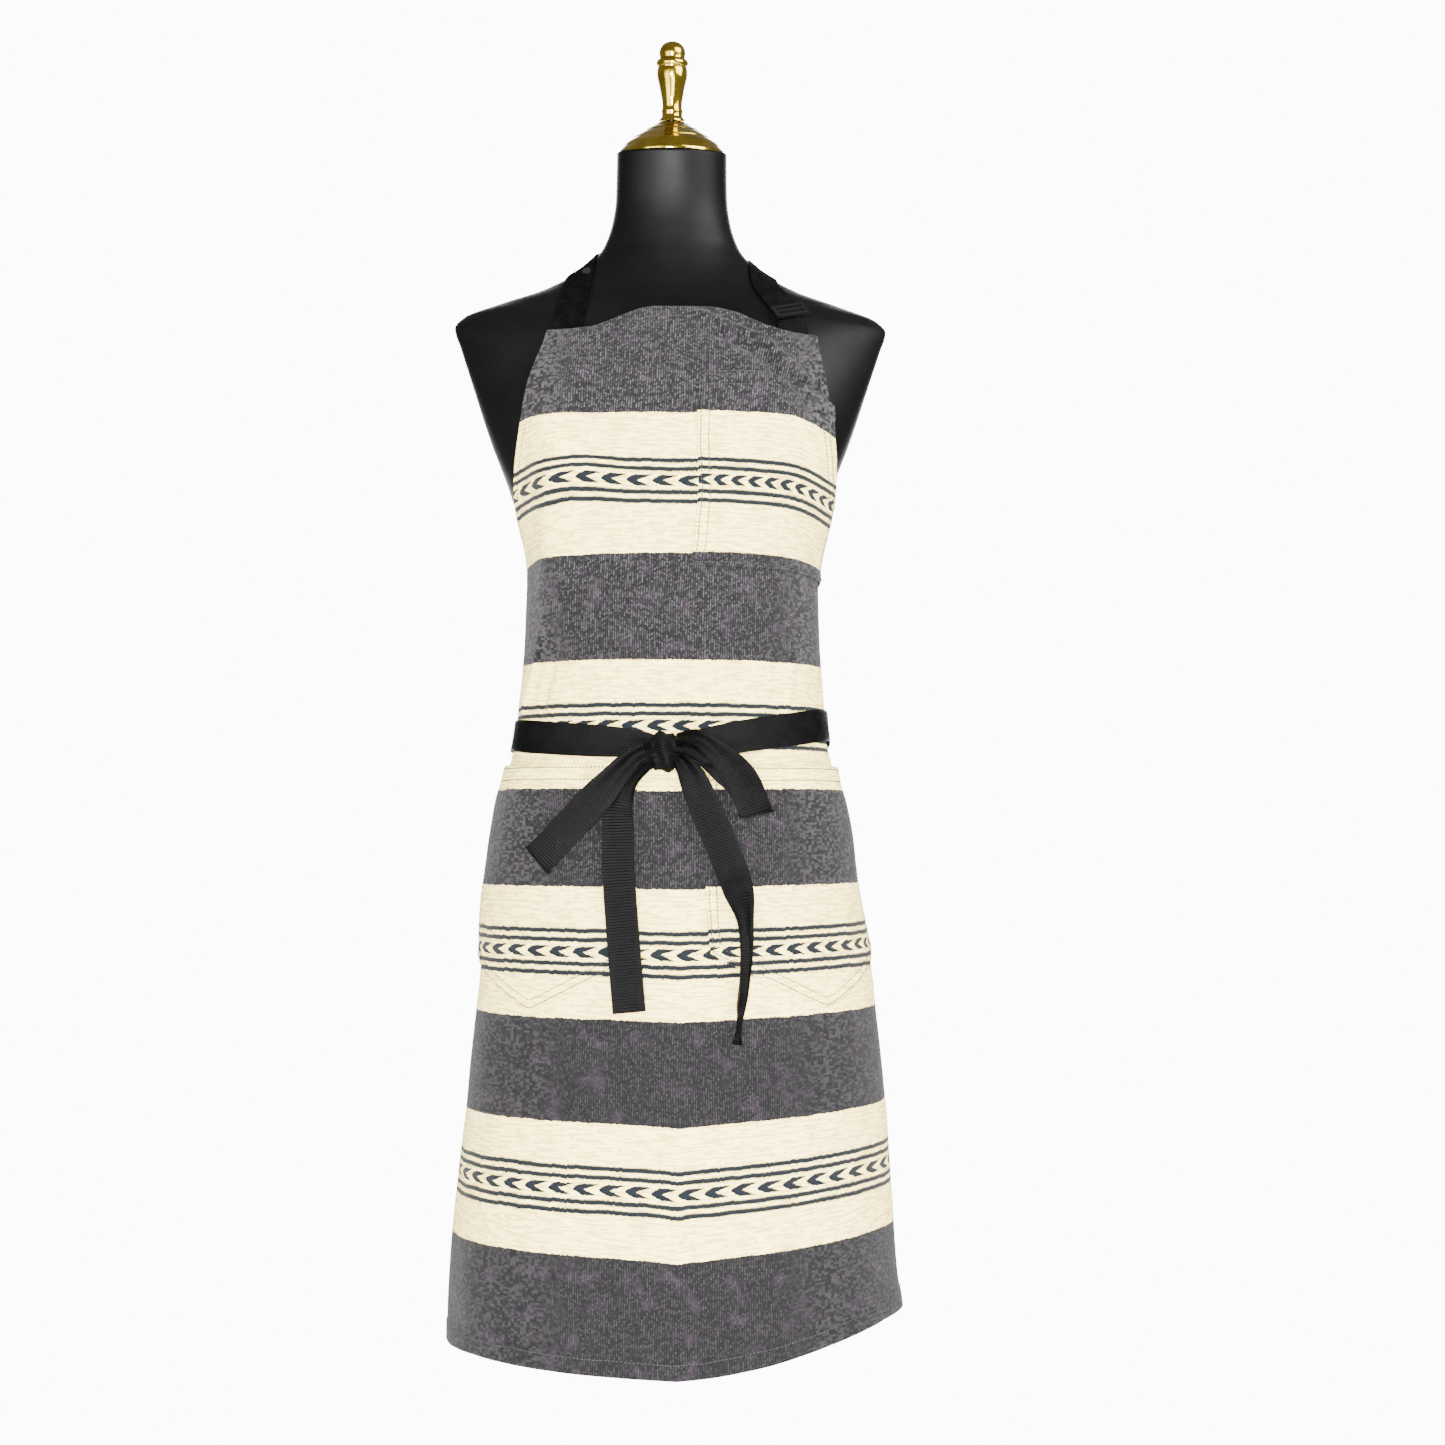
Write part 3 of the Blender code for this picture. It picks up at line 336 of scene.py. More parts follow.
# ---- mesh helpers
def grid_faces(rows, columns, closed=False):
    """Quads over a grid of points whose rows are stored one after another."""
    i, j = np.meshgrid(np.arange(rows - 1), np.arange(columns if closed else columns - 1), indexing="ij")
    k = (j + 1) % columns
    a, b, c, d = i * columns + j, i * columns + k, (i + 1) * columns + k, (i + 1) * columns + j
    return np.stack((a, b, c, d), axis=-1).reshape(-1, 4)


def make_mesh(name, points, faces, mat, uv=None):
    """A smooth mesh; uv holds each point's flat measures."""
    mesh = bpy.data.meshes.new(name)
    faces = faces.tolist() if isinstance(faces, np.ndarray) else faces
    mesh.from_pydata(np.asarray(points).reshape(-1, 3).tolist(), [], faces)
    if uv is not None:
        layer = mesh.uv_layers.new(name="cloth")
        loops = np.zeros(len(mesh.loops), dtype=np.int32)
        mesh.loops.foreach_get("vertex_index", loops)
        layer.data.foreach_set("uv", np.asarray(uv, dtype=np.float32).reshape(-1, 2)[loops].ravel())
    mesh.update()
    mesh.shade_smooth()
    mesh.materials.append(mat)
    obj = bpy.data.objects.new(name, mesh)
    bpy.context.scene.collection.objects.link(obj)
    return obj


def thicken(obj, thickness, offset=0.0):
    solid = obj.modifiers.new("wall", "SOLIDIFY")
    solid.thickness = thickness
    solid.offset = offset
    return obj


def evened(rows, count):
    """Rows of points resampled evenly by the middle column's length, through smooth curves."""
    rows = np.asarray(rows, float)
    first, last = 2 * rows[0] - rows[1], 2 * rows[-1] - rows[-2]
    padded = np.concatenate((first[None], rows, last[None]))
    t = (np.arange(16) / 16)[:, None, None]
    parts = []
    for a, b, c, d in zip(padded, padded[1:], padded[2:], padded[3:]):
        parts.append(0.5 * (2 * b + (c - a) * t + (2 * a - 5 * b + 4 * c - d) * t**2
                            + (3 * b - a - 3 * c + d) * t**3))
    fine = np.concatenate((*parts, rows[-1][None]))
    middle = fine[:, fine.shape[1] // 2]
    run = np.concatenate(([0.0], np.linalg.norm(np.diff(middle, axis=0), axis=1).cumsum()))
    spots = np.linspace(0.0, run[-1], count)
    even = [np.interp(spots, run, column) for column in fine.reshape(len(fine), -1).T]
    return np.stack(even, axis=-1).reshape(count, -1, 3), spots


def grosgrain(name, rows, mat):
    """A ribbed ribbon over rows of points across its width; both faces carry the ribs."""
    rows = np.asarray(rows, float)
    middle = rows[:, rows.shape[1] // 2]
    length = float(np.linalg.norm(np.diff(middle, axis=0), axis=1).sum())
    fine, spots = evened(rows, max(int(length / (RIB_PITCH / 5)), 12))
    count, columns = fine.shape[:2]
    along = np.gradient(fine, axis=0)
    across = np.gradient(fine, axis=1)
    normal = np.cross(along, across)
    normal /= np.linalg.norm(normal, axis=-1, keepdims=True) + 1e-12
    share = np.linspace(-1, 1, columns)[None, :]
    ribs = 0.0002 * np.sin(2 * math.pi * spots / RIB_PITCH)[:, None] * (np.abs(share) < 0.95)
    half = (RIBBON_THICK / 2 + ribs)[..., None]
    front, back = fine + normal * half, fine - normal * half
    ring = np.concatenate((front, back[:, ::-1]), axis=1)
    faces = grid_faces(count, 2 * columns, closed=True).tolist()
    caps = []
    for start, flip in ((0, False), ((count - 1) * 2 * columns, True)):
        for j in range(columns - 1):
            quad = [start + j, start + j + 1, start + 2 * columns - 2 - j, start + 2 * columns - 1 - j]
            caps.append(quad if flip else quad[::-1])
    width = np.concatenate((share[0], share[0][::-1])) * RIBBON / 2
    uv = np.stack(np.broadcast_arrays(width[None, :], spots[:, None]), axis=-1)
    obj = make_mesh(name, ring, faces + caps, mat, uv=uv)
    obj.data.set_sharp_from_angle(angle=math.radians(60))
    return obj, length


# ---- material helpers
def operation(kind, flipped=False):
    """A method that adds one Math node; flipped puts the value itself last."""
    def act(self, *others):
        values = (*others, self) if flipped else (self, *others)
        return self.nodes.new("ShaderNodeMath", enumerate(values), operation=kind)

    return act


class Value:
    """A shader value that takes plain arithmetic."""

    __add__, __mul__ = operation("ADD"), operation("MULTIPLY")
    __sub__, __rsub__ = operation("SUBTRACT"), operation("SUBTRACT", flipped=True)
    __truediv__, __pow__ = operation("DIVIDE"), operation("POWER")
    __lt__, __gt__ = operation("LESS_THAN"), operation("GREATER_THAN")
    floor, fract, sine, size = operation("FLOOR"), operation("FRACT"), operation("SINE"), operation("ABSOLUTE")
    most, least = operation("MAXIMUM"), operation("MINIMUM")

    def __init__(self, nodes, socket):
        self.nodes, self.socket = nodes, socket


class Nodes:
    """A short way to write a material: every call adds one node and returns its output."""

    def __init__(self, name):
        self.mat = bpy.data.materials.new(name)
        self.mat.use_nodes = True
        self.tree = self.mat.node_tree
        self.shader = self.tree.nodes["Principled BSDF"]

    def new(self, kind, inputs=(), out=0, **settings):
        node = self.tree.nodes.new(kind)
        for key, value in settings.items():
            setattr(node, key, value)
        for key, value in dict(inputs).items():
            self.set(node.inputs[key], value)
        return Value(self, node.outputs[out])

    def set(self, socket, value):
        if isinstance(value, Value):
            self.tree.links.new(value.socket, socket)
        else:
            socket.default_value = value

    def flat(self):
        """A place on the flat cloth or webbing, and how far across and down it is."""
        place = self.new("ShaderNodeUVMap", uv_map="cloth")
        return place, *(self.new("ShaderNodeSeparateXYZ", {0: place}, out=k) for k in (0, 1))

    def space(self):
        return self.new("ShaderNodeTexCoord", out=3)

    def mix(self, share, a, b):
        return self.new("ShaderNodeMix", {0: share, 6: a, 7: b}, out=2, data_type="RGBA")

    def noise(self, place, scale, detail=2.0, stretch=None):
        if stretch:
            place = self.new("ShaderNodeVectorMath", {0: place, 1: stretch}, operation="MULTIPLY")
        return self.new("ShaderNodeTexNoise", {"Vector": place, "Scale": scale, "Detail": detail})

    def ramp(self, value, low, high, first=0.0, last=1.0):
        return self.new("ShaderNodeMapRange", {"Value": value, "From Min": low, "From Max": high,
                                               "To Min": first, "To Max": last})

    def finish(self, colour, rough, height, strength, distance, **plain):
        """The material, with its bumps; plain holds the shader's other inputs."""
        self.set(self.shader.inputs["Base Color"], colour)
        self.set(self.shader.inputs["Roughness"], rough)
        for key, value in plain.items():
            self.shader.inputs[key.replace("_", " ")].default_value = value
        normal = self.new("ShaderNodeBump", {"Height": height, "Strength": strength, "Distance": distance})
        self.set(self.shader.inputs["Normal"], normal)
        return self.mat


def rgb(r, g, b):
    return (r, g, b, 1.0)


def grey(tone):
    return rgb(tone, tone, tone)


CREAM, CREAM_THREAD, CREAM_SHADE = rgb(0.97, 0.81, 0.27), rgb(0.62, 0.44, 0.13), rgb(0.78, 0.62, 0.28)
SLATE, SLATE_THREAD, SLATE_TINT = rgb(0.003, 0.0028, 0.0033), rgb(0.088, 0.082, 0.085), rgb(0.075, 0.045, 0.07)
INK = rgb(0.003, 0.005, 0.008)
CROSS = (0.0019, 0.0018)  # one crossing of the slate weave, across and down
ARROW = 0.0205  # one arrowhead and the gap behind it
HEAD_LONG, HEAD_HALF, NOTCH_AT = 0.0078, 0.0045, 0.0088
ARROW_LINES, LINE_HALF, TOOTH = (0.0094, 0.0164), 0.00145, 0.0018


def threads(n, u, v, across, down):
    """Random light and dark, thread by thread: one value for each crossing of the weave."""
    cell = n.new("ShaderNodeCombineXYZ", {0: (u / across).floor(), 1: (v / down).floor()})
    return n.new("ShaderNodeTexWhiteNoise", {"Vector": cell}, noise_dimensions="2D")


def speckle(n, place, u, v):
    """The slate stripes' light flecks: a fine grid of crossings, with coarse short streaks at the sides."""
    bent, slid = v + n.noise(place, 30.0) * 0.004, u + n.noise(place, 25.0) * 0.003
    odd = ((slid / CROSS[0]).floor() * 0.5).fract()
    stepped = bent + odd * CROSS[1]
    across = (slid * (math.pi / CROSS[0])).sine().size()
    down = (stepped * (math.pi / CROSS[1])).sine().size()
    dots = n.ramp(across, 0.3, 0.95) * (down * 0.6 + 0.4)
    tone = threads(n, slid, stepped, *CROSS) ** 1.6 * 0.86 + 0.03
    row = n.noise(place, 330.0, 1.0, stretch=(0.03, 1.0, 1.0)) * 0.9 + 0.5
    upright = threads(n, slid, bent, 0.0015, 0.0022) > 0.6
    lying = threads(n, slid, bent, 0.0028, 0.0017) > 0.6
    inputs = {0: n.ramp(u.size(), 0.085, 0.115), 2: dots * tone * row, 3: lying * 0.38 + upright * 0.16}
    return n.new("ShaderNodeMix", inputs, data_type="FLOAT")


def arrowhead(u, off, away, pitch):
    """An arrowhead pointing to -X with a notch behind, repeated along the row."""
    s = (u / pitch).fract() * ARROW
    outer = (s / HEAD_LONG).least(1.0) ** 0.64 * HEAD_HALF
    notch = (s - NOTCH_AT) * (0.42 - (off < 0.0) * 0.08)
    return (away < outer) * (away > notch)


def woven_cloth(name, arrow_pitch, shift=0.0):
    """Slate and cream stripes, with lines and a row of arrowheads in the middle of each cream stripe."""
    n = Nodes(name)
    place, u, v = n.flat()
    v = v + shift
    wobble = (n.noise(place, 60.0) - 0.5) * 0.0018
    jag = (n.noise(place, 1.0, 0.0, stretch=(620, 1, 1)) - 0.5) * 0.0016
    row = v + wobble + jag
    cream, off = None, None
    for low, high in CREAM_BANDS:
        here = row - (low + high) / 2
        inside = here.size() < (high - low) / 2
        part = inside * here
        cream, off = (inside, part) if cream is None else (cream.most(inside), off + part)
    away = off.size()
    # warp threads run down the cloth, weft threads across it
    warp, weft = (u * (1150.0 * math.pi)).sine().size(), (v * (1250.0 * math.pi)).sine().size()
    fleck = n.noise(place, 900.0, stretch=(1.0, 0.42, 1.0))
    patch = n.noise(place, 38.0, 3.0)
    slub = n.noise(place, 520.0, 1.0, stretch=(0.1, 1.0, 1.0))
    knots = n.noise(place, 420.0, 1.0, stretch=(0.3, 1.0, 1.0))
    # the slate gets darker down the cloth
    light = (speckle(n, place, u, v) + (patch - 0.5) * 0.1) * n.ramp(v, 0.08, 0.62, 0.78, 0.28)
    tint = n.ramp(n.noise(place, 55.0, 1.0), 0.58, 0.72) * 0.1
    slate_colour = n.mix(tint, n.mix(light, SLATE, SLATE_THREAD), SLATE_TINT)
    cream_colour = CREAM
    for source, low, high, share, paint in ((slub, 0.5, 0.6, 0.85, CREAM_THREAD),
                                            (knots, 0.56, 0.64, 0.8, CREAM_THREAD),
                                            (fleck, 0.5, 0.8, 0.35, CREAM_THREAD),
                                            (patch, 0.4, 0.7, 0.12, CREAM_SHADE)):
        cream_colour = n.mix(n.ramp(source, low, high) * share, cream_colour, paint)
    # two pairs of thin lines, whose edges are made of slanting dashes
    lean = ((u + off * 0.6) * 500.0).fract()
    half = (lean - 0.5).size() * TOOTH + LINE_HALF
    marks = arrowhead(u, off, away, arrow_pitch)
    for at in ARROW_LINES:
        marks = marks.most((away - at).size() < half)
    colour = n.mix(marks * cream, n.mix(cream, slate_colour, cream_colour), INK)
    height = (warp + weft) * 0.35 + fleck * 0.7 + (slub + knots) * 0.8
    return n.finish(colour, 0.88, height, 0.55, 0.0008, Sheen_Weight=0.05, Sheen_Roughness=0.5,
                    Specular_IOR_Level=0.12)


def webbing():
    n = Nodes("black_grosgrain")
    place, _, run = n.flat()
    # painted shade and highlight: the colour darkens in the ribs' valleys and lightens on their crests,
    # following the ribs that the mesh already carries
    ribs = (run * (2 * math.pi / RIB_PITCH)).sine()
    fuzz, patch = n.noise(place, 1500.0), n.noise(place, 80.0, 3.0)
    colour = n.mix(n.ramp(ribs + fuzz, -0.4, 1.7), grey(0.0003), rgb(0.002, 0.0019, 0.0021))
    colour = n.mix(n.ramp(patch, 0.45, 0.75) * 0.45, colour, rgb(0.0042, 0.0039, 0.0041))
    return n.finish(colour, n.ramp(patch, -0.4, 1.5), fuzz, 0.5, 0.0004, Specular_IOR_Level=0.03)


def form_cover():
    n = Nodes("black_cover")
    place = n.space()
    knit = n.noise(place, 1800.0, stretch=(1.0, 1.0, 0.45))
    patch = n.noise(place, 14.0, 4.0)
    colour = n.mix(n.ramp(knit, 0.35, 0.7), grey(0.0007), grey(0.0017))
    colour = n.mix(n.ramp(patch, 0.5, 0.75) * 0.35, colour, rgb(0.0021, 0.002, 0.002))
    return n.finish(colour, n.ramp(patch, -0.55, 1.6), knit, 0.12, 0.0003, Specular_IOR_Level=0.08)


def gold():
    n = Nodes("polished_gold")
    place = n.space()
    lathe = n.noise(place, 60.0, 3.0, stretch=(1.0, 1.0, 40.0))
    patch = n.noise(place, 60.0, 4.0)
    # painted reflections: the darker patches in the gold's colour stand for the dark room mirrored in the
    # polished metal
    colour = n.mix(n.ramp(patch, 0.45, 0.8), rgb(0.46, 0.32, 0.035), rgb(0.24, 0.15, 0.008))
    return n.finish(colour, n.ramp(patch, -0.2, 4.6), lathe, 0.1, 0.0003, Metallic=1.0)


def steel(name, tone, rough):
    n = Nodes(name)
    place = n.space()
    grain = n.noise(place, 400.0, 3.0, stretch=(1.0, 1.0, 12.0))
    stain = n.ramp(n.noise(place, 45.0, 4.0), 0.4, 0.8)
    colour = n.mix(stain, rgb(tone, tone, tone * 1.02), rgb(tone * 0.6, tone * 0.58, tone * 0.54))
    return n.finish(colour, n.ramp(grain, -rough * 3, 3.0), grain, 0.1, 0.0004, Metallic=1.0)


def plywood():
    n = Nodes("plywood")
    place = n.space()
    grain = n.noise(place, 6.0, 5.0, stretch=(3.0, 40.0, 40.0))
    rings = n.noise(place, 4.0, stretch=(1.0, 6.0, 400.0))
    colour = n.mix(n.ramp(grain, 0.3, 0.7), rgb(0.46, 0.31, 0.16), rgb(0.62, 0.46, 0.27))
    colour = n.mix(n.ramp(rings, 0.5, 0.7) * 0.3, colour, rgb(0.3, 0.18, 0.09))
    return n.finish(colour, 0.72, grain, 0.2, 0.0008)


def black_plastic():
    n = Nodes("moulded_black")
    skin = n.noise(n.space(), 900.0, 3.0)
    colour = n.mix(skin, rgb(0.002, 0.002, 0.0022), rgb(0.005, 0.005, 0.0054))
    return n.finish(colour, n.ramp(skin, -0.6, 2.6), skin, 0.15, 0.0002, Specular_IOR_Level=0.12)


def thread():
    n = Nodes("sewing_thread")
    twist = n.noise(n.space(), 2500.0, 1.0)
    colour = n.mix(twist, rgb(0.0016, 0.0013, 0.0011), rgb(0.0045, 0.0037, 0.003))
    return n.finish(colour, 0.7, twist, 0.3, 0.0002)


# ---- cloth pieces
def graded(inner, outer, step):
    """Grid lines from inner to outer, crowded together over the hems at both ends."""
    crowd = np.array((0.0, 0.0006, 0.0014, 0.003, 0.0048, 0.0064, 0.0074, 0.0082, 0.009, 0.0102, 0.0116,
                      0.0128, 0.014, 0.0155))
    body = np.linspace(inner, outer, int((outer - inner) / step) + 1)
    clear = crowd[-1] + step * 0.5
    body = body[(body >= inner + clear) & (body <= outer - clear)]
    return np.unique(np.concatenate((body, inner + crowd, outer - crowd)))


def build_panel(mat):
    """The apron's one sheet: its grid follows the cut edges, and keeps true distances over the side hems."""
    rows, columns = graded(0.0, CLOTH_LENGTH, 0.003), graded(-PANEL_HALF, PANEL_HALF, 0.003)
    v0, u0 = np.meshgrid(rows, columns, indexing="ij")
    wide, true = side_width(v0), 0.018
    edge = PANEL_HALF - np.abs(u0)
    u = np.sign(u0) * np.where(edge < true, wide - edge, np.abs(u0) * (wide - true) / (PANEL_HALF - true))
    v = v0 + top_edge(u) * (1 - ease(v0 / 0.08)) + (bottom_edge(u) - CLOTH_LENGTH) * ease((v0 - 0.6) / 0.24)
    points = cloth(u, v, hem_relief(u, v))
    obj = make_mesh("striped_panel", points, grid_faces(*u.shape), mat, uv=np.stack((u, v), axis=-1))
    return thicken(obj, CLOTH)


class Patch:
    """A patch pocket over the panel: its mouth's edge is turned under and stands a little away."""

    def __init__(self, left, right, top, bottom, gape):
        self.left, self.right, self.top, self.bottom, self.gape = left, right, top, bottom, gape

    def lift(self, u, v):
        """How far the pocket's middle surface stands off the panel's."""
        left, right, top, bottom = self.left(v), self.right(v), self.top(u), self.bottom(u)
        share = np.clip((u - left) / (right - left), 0.0, 1.0)
        part = np.clip((v - top) / (bottom - top), 0.0, 1.0)
        edge = np.minimum(np.minimum(u - left, right - u), bottom - v)
        out = 0.0011 + 0.0008 * ease(edge / 0.004) + 0.0007 * (1 - ease((v - top - 0.01) / 0.002))
        out = out + 0.0006 * (1 - ease((edge - 0.008) / 0.002))
        out = out + self.gape * np.sin(np.pi * share) ** 0.9 * (1 - part) ** 2.2
        out = out + 0.0005 * soft_noise(u, v, 0.03, 21) * ease(edge / 0.02)
        return out + 0.00022 * soft_noise(u, v, 0.006, 22) * (1 - ease(edge / 0.014))

    def build(self, name, mat, rows=90, columns=110):
        part = np.linspace(0.0, 1.0, rows + 1)[:, None]
        share = np.linspace(0.0, 1.0, columns)[None, :]
        middle = self.left(0.45) + (self.right(0.45) - self.left(0.45)) * share
        v = self.top(middle) + (self.bottom(middle) - self.top(middle)) * part
        u = self.left(v) + (self.right(v) - self.left(v)) * share
        v = self.top(u) + (self.bottom(u) - self.top(u)) * part
        points = cloth(u, v, self.lift(u, v))
        obj = make_mesh(name, points, grid_faces(*u.shape), mat, uv=np.stack((u, v), axis=-1))
        return thicken(obj, CLOTH)

    def sew(self, across, down, seed):
        sew(across, down, lambda u, v: self.lift(u, v) + CLOTH / 2, seed)


STITCHES = []


def sew(across, down, lift, seed, pitch=0.0031, wander=0.00025):
    """Adds a row of stitches along a line on the cloth, given by arrays of places across and down."""
    line = np.stack(np.broadcast_arrays(across, down), axis=-1)
    run = np.concatenate(([0.0], np.linalg.norm(np.diff(line, axis=0), axis=1).cumsum()))
    spots = np.arange(pitch / 2, run[-1], pitch)
    stray = np.random.default_rng(seed).normal(0.0, wander, (len(spots) + 8, 2))
    stray = sum(stray[k:k + len(spots)] for k in range(5)) / 2.5
    here, ahead = (np.stack([np.interp(spots + step, run, line[:, k]) for k in (0, 1)], axis=-1) + stray
                   for step in (0.0, 0.0005))
    level = lift(here[:, 0], here[:, 1])
    STITCHES.append((cloth(here[:, 0], here[:, 1], level), cloth(ahead[:, 0], ahead[:, 1], level),
                     cloth(here[:, 0], here[:, 1], level + 0.001)))


def build_stitches(mat):
    """Every stitch as one small closed spindle lying on the cloth."""
    here, ahead, above = (np.concatenate(part) for part in zip(*STITCHES))
    run, up = ahead - here, above - here
    run /= np.linalg.norm(run, axis=1, keepdims=True) + 1e-12
    up /= np.linalg.norm(up, axis=1, keepdims=True) + 1e-12
    side = np.cross(run, up)
    stations = ((-0.00125, 0.00018), (-0.0009, 0.0005), (0.0009, 0.0005), (0.00125, 0.00018))
    ring = 5
    turns = [2 * math.pi * k / ring for k in range(ring)]
    points = np.stack([here + run * along + (side * math.cos(a) + up * math.sin(a)) * radius
                       for along, radius in stations for a in turns], axis=1)
    each = ring * len(stations)
    one = grid_faces(len(stations), ring, closed=True)[:, ::-1].tolist()
    one += [list(range(ring)), list(range(each - 1, each - ring - 1, -1))]
    faces = [[corner + k * each for corner in face] for k in range(len(here)) for face in one]
    return make_mesh("stitching", points, faces, mat)


def shares(count=200):
    return np.linspace(0.0, 1.0, count)


def on_panel(u, v):
    return hem_relief(u, v) + CLOTH / 2


def sew_panel():
    down = 0.022 + shares(400) * (CLOTH_LENGTH - 0.05)
    for side in (-1, 1):
        sew(side * (side_width(down) - (SIDE_HEM - 0.001)), down, on_panel, 3 + side)
    across = -0.105 + 0.21 * shares()
    sew(across, top_edge(across) + TOP_HEM - 0.001, on_panel, 5)
    across = -0.292 + 0.584 * shares(400)
    sew(across, bottom_edge(across) - BOTTOM_HEM + 0.001, on_panel, 6)


def build_hip_pocket(name, side, mat):
    middle, half = (HIP_INNER + HIP_OUTER) / 2, (HIP_OUTER - HIP_INNER) / 2
    low, high = sorted((side * HIP_INNER, side * HIP_OUTER))

    def bottom(u):
        peak = np.sqrt((np.abs(u) - middle) ** 2 + 0.004**2) - 0.004
        return HIP_TIP - (HIP_TIP - HIP_SIDE) * peak / half

    patch = Patch(lambda v: low + 0 * v, lambda v: high + 0 * v, lambda u: HIP_TOP + 0 * u, bottom, 0.0022)
    for inset in (0.0026, 0.0082):
        down = HIP_TOP + 0.003 + shares(90) * (HIP_SIDE - HIP_TOP - inset)
        for edge in (low + inset, high - inset):
            patch.sew(edge, down, int(1000 * abs(edge)))
        across = low + inset + shares() * (high - low - 2 * inset)
        patch.sew(across, bottom(across) - inset * 1.12, 31)
    for drop in (0.0028, 0.0125):
        patch.sew(low + 0.003 + shares() * (high - low - 0.006), HIP_TOP + drop, 33)
    return patch.build(name, mat)


def build_chest_pocket(mat):
    def left(v):
        return CHEST_INNER + 0.0012 * np.sin(v * 50)

    def right(v):
        return side_width(v) - 0.0015

    def top(u):
        return CHEST_TOP + 0.12 * np.maximum(u - 0.06, 0.0)

    patch = Patch(left, right, top, lambda u: CHEST_BOTTOM + 0 * u, 0.0048)
    t = shares(120)
    for inset in (0.0028, 0.0092):
        patch.sew(left(CHEST_TOP + t * 0.15) + inset, CHEST_TOP + 0.003 + t * 0.15, 41)
        patch.sew(right(CHEST_TOP + 0.006 + t * 0.148) - inset, CHEST_TOP + 0.008 + t * 0.146, 42)
    patch.sew(left(CHEST_BOTTOM) + 0.003 + 0.15 * shares(), CHEST_BOTTOM - 0.003, 43)
    mouth = left(CHEST_TOP) + 0.003 + 0.1 * shares()
    for drop, seed in ((0.0105, 44), (0.003, 45)):
        patch.sew(mouth, top(mouth) + drop, seed)
    return patch.build("chest_patch_pocket", mat)


# ---- the form
def neck_lean(heights):
    """The lean of the sections up the neck's middle line, how far forward they are, and how high."""
    run = np.maximum(np.asarray(heights, float) - TILT_LOW, 0.0)
    share = np.minimum(run / TILT_RUN, 1.0)
    straight = np.maximum(run - TILT_RUN, 0.0)
    forward = NECK_TILT * TILT_RUN * (share**3 - share**4 / 2) + math.sin(NECK_TILT) * straight
    return NECK_TILT * ease(share), forward, heights - straight * (1 - math.cos(NECK_TILT))


def torso_points(heights, turn):
    """The form's outside; turn runs from -pi to pi, and 0 is the front centre."""
    x, y = outlines(FORM_STATIONS, heights, np.abs(turn)[None, :], 0.0025)
    x = np.where(turn[None, :] < 0, -x, x)
    bust = np.exp(-((np.abs(x) - BUST_X) ** 2 + (heights[:, None] - BUST_Z) ** 2) / (2 * BUST_SIZE**2))
    y = np.where(y < 0, y - BUST_LIFT * bust, y)
    angle, forward, height = (part[:, None] for part in neck_lean(heights))
    return np.stack(np.broadcast_arrays(x, y * np.cos(angle) - forward, height + y * np.sin(angle)), axis=-1)


def turned(name, profile, mat, segments=144):
    """A turned piece of the cap or finial, on the neck's leaning end; the profile is a closed outline."""
    turn = np.linspace(0.0, 2 * math.pi, segments + 1)[:-1]
    radius, rise = np.array(profile + profile[:1]).T[:, :, None]
    angle, forward, height = neck_lean(NECK_END)
    y = radius * np.sin(turn)
    points = (radius * np.cos(turn), y * math.cos(angle) - rise * math.sin(angle) - forward,
              y * math.sin(angle) + rise * math.cos(angle) + height)
    grid = np.stack(np.broadcast_arrays(*points), axis=-1)
    obj = make_mesh(name, grid, grid_faces(len(grid), segments, closed=True), mat)
    bm = bmesh.new()
    bm.from_mesh(obj.data)
    bmesh.ops.remove_doubles(bm, verts=bm.verts, dist=1e-6)
    bmesh.ops.recalc_face_normals(bm, faces=bm.faces)
    bm.to_mesh(obj.data)
    bm.free()
    obj.data.set_sharp_from_angle(angle=math.radians(32))
    return obj


def build_torso(mat):
    """A hollow shell: its outer side, thickened inwards and open at both ends."""
    levels = np.unique(np.concatenate((np.linspace(0.0006, 0.64, 110), np.linspace(0.64, 0.75, 70),
                                       np.linspace(0.75, 0.8198, 30))))
    turn = np.linspace(-math.pi, math.pi, 161)[:-1]
    outer = torso_points(levels, turn)
    obj = make_mesh("form_shell", outer, grid_faces(len(levels), len(turn), closed=True), mat)
    thicken(obj, 0.0035, -1.0)
    obj.data.set_sharp_from_angle(angle=math.radians(40))
    return obj


def outer_tree():
    heights = np.linspace(0.0, 0.82, 330)
    turn = np.linspace(-math.pi, math.pi, 241)[:-1]
    points = torso_points(heights, turn).reshape(-1, 3)
    faces = grid_faces(len(heights), len(turn), closed=True)
    return BVHTree.FromPolygons([Vector(p) for p in points], faces.tolist())


def on_form(tree, point, lift):
    spot, normal, _, _ = tree.find_nearest(Vector(point))
    if normal.dot(Vector((spot.x, spot.y, 0.02))) < 0:
        normal = -normal
    return spot + normal * lift, normal


def wrapped_rows(tree, path, count):
    """Ribbon rows laid over the form along a path near it."""
    centre, _ = evened(np.array(path)[:, None, :], count)
    fine = [on_form(tree, p, STRAP_LIFT) for p in centre[:, 0]]
    rows = []
    for k, (p, normal) in enumerate(fine):
        ahead, behind = fine[min(k + 2, count - 1)][0], fine[max(k - 2, 0)][0]
        across = (ahead - behind).normalized().cross(normal).normalized() * RIBBON
        rows.append([on_form(tree, p + across * (j / (COLUMNS - 1) - 0.5) + normal * 0.004, STRAP_LIFT)[0]
                     for j in range(COLUMNS)])
    rows = np.array([[tuple(q) for q in row] for row in rows])
    for _ in range(6):
        rows[1:-1] = (rows[:-2] + 2 * rows[1:-1] + rows[2:]) / 4
    return rows


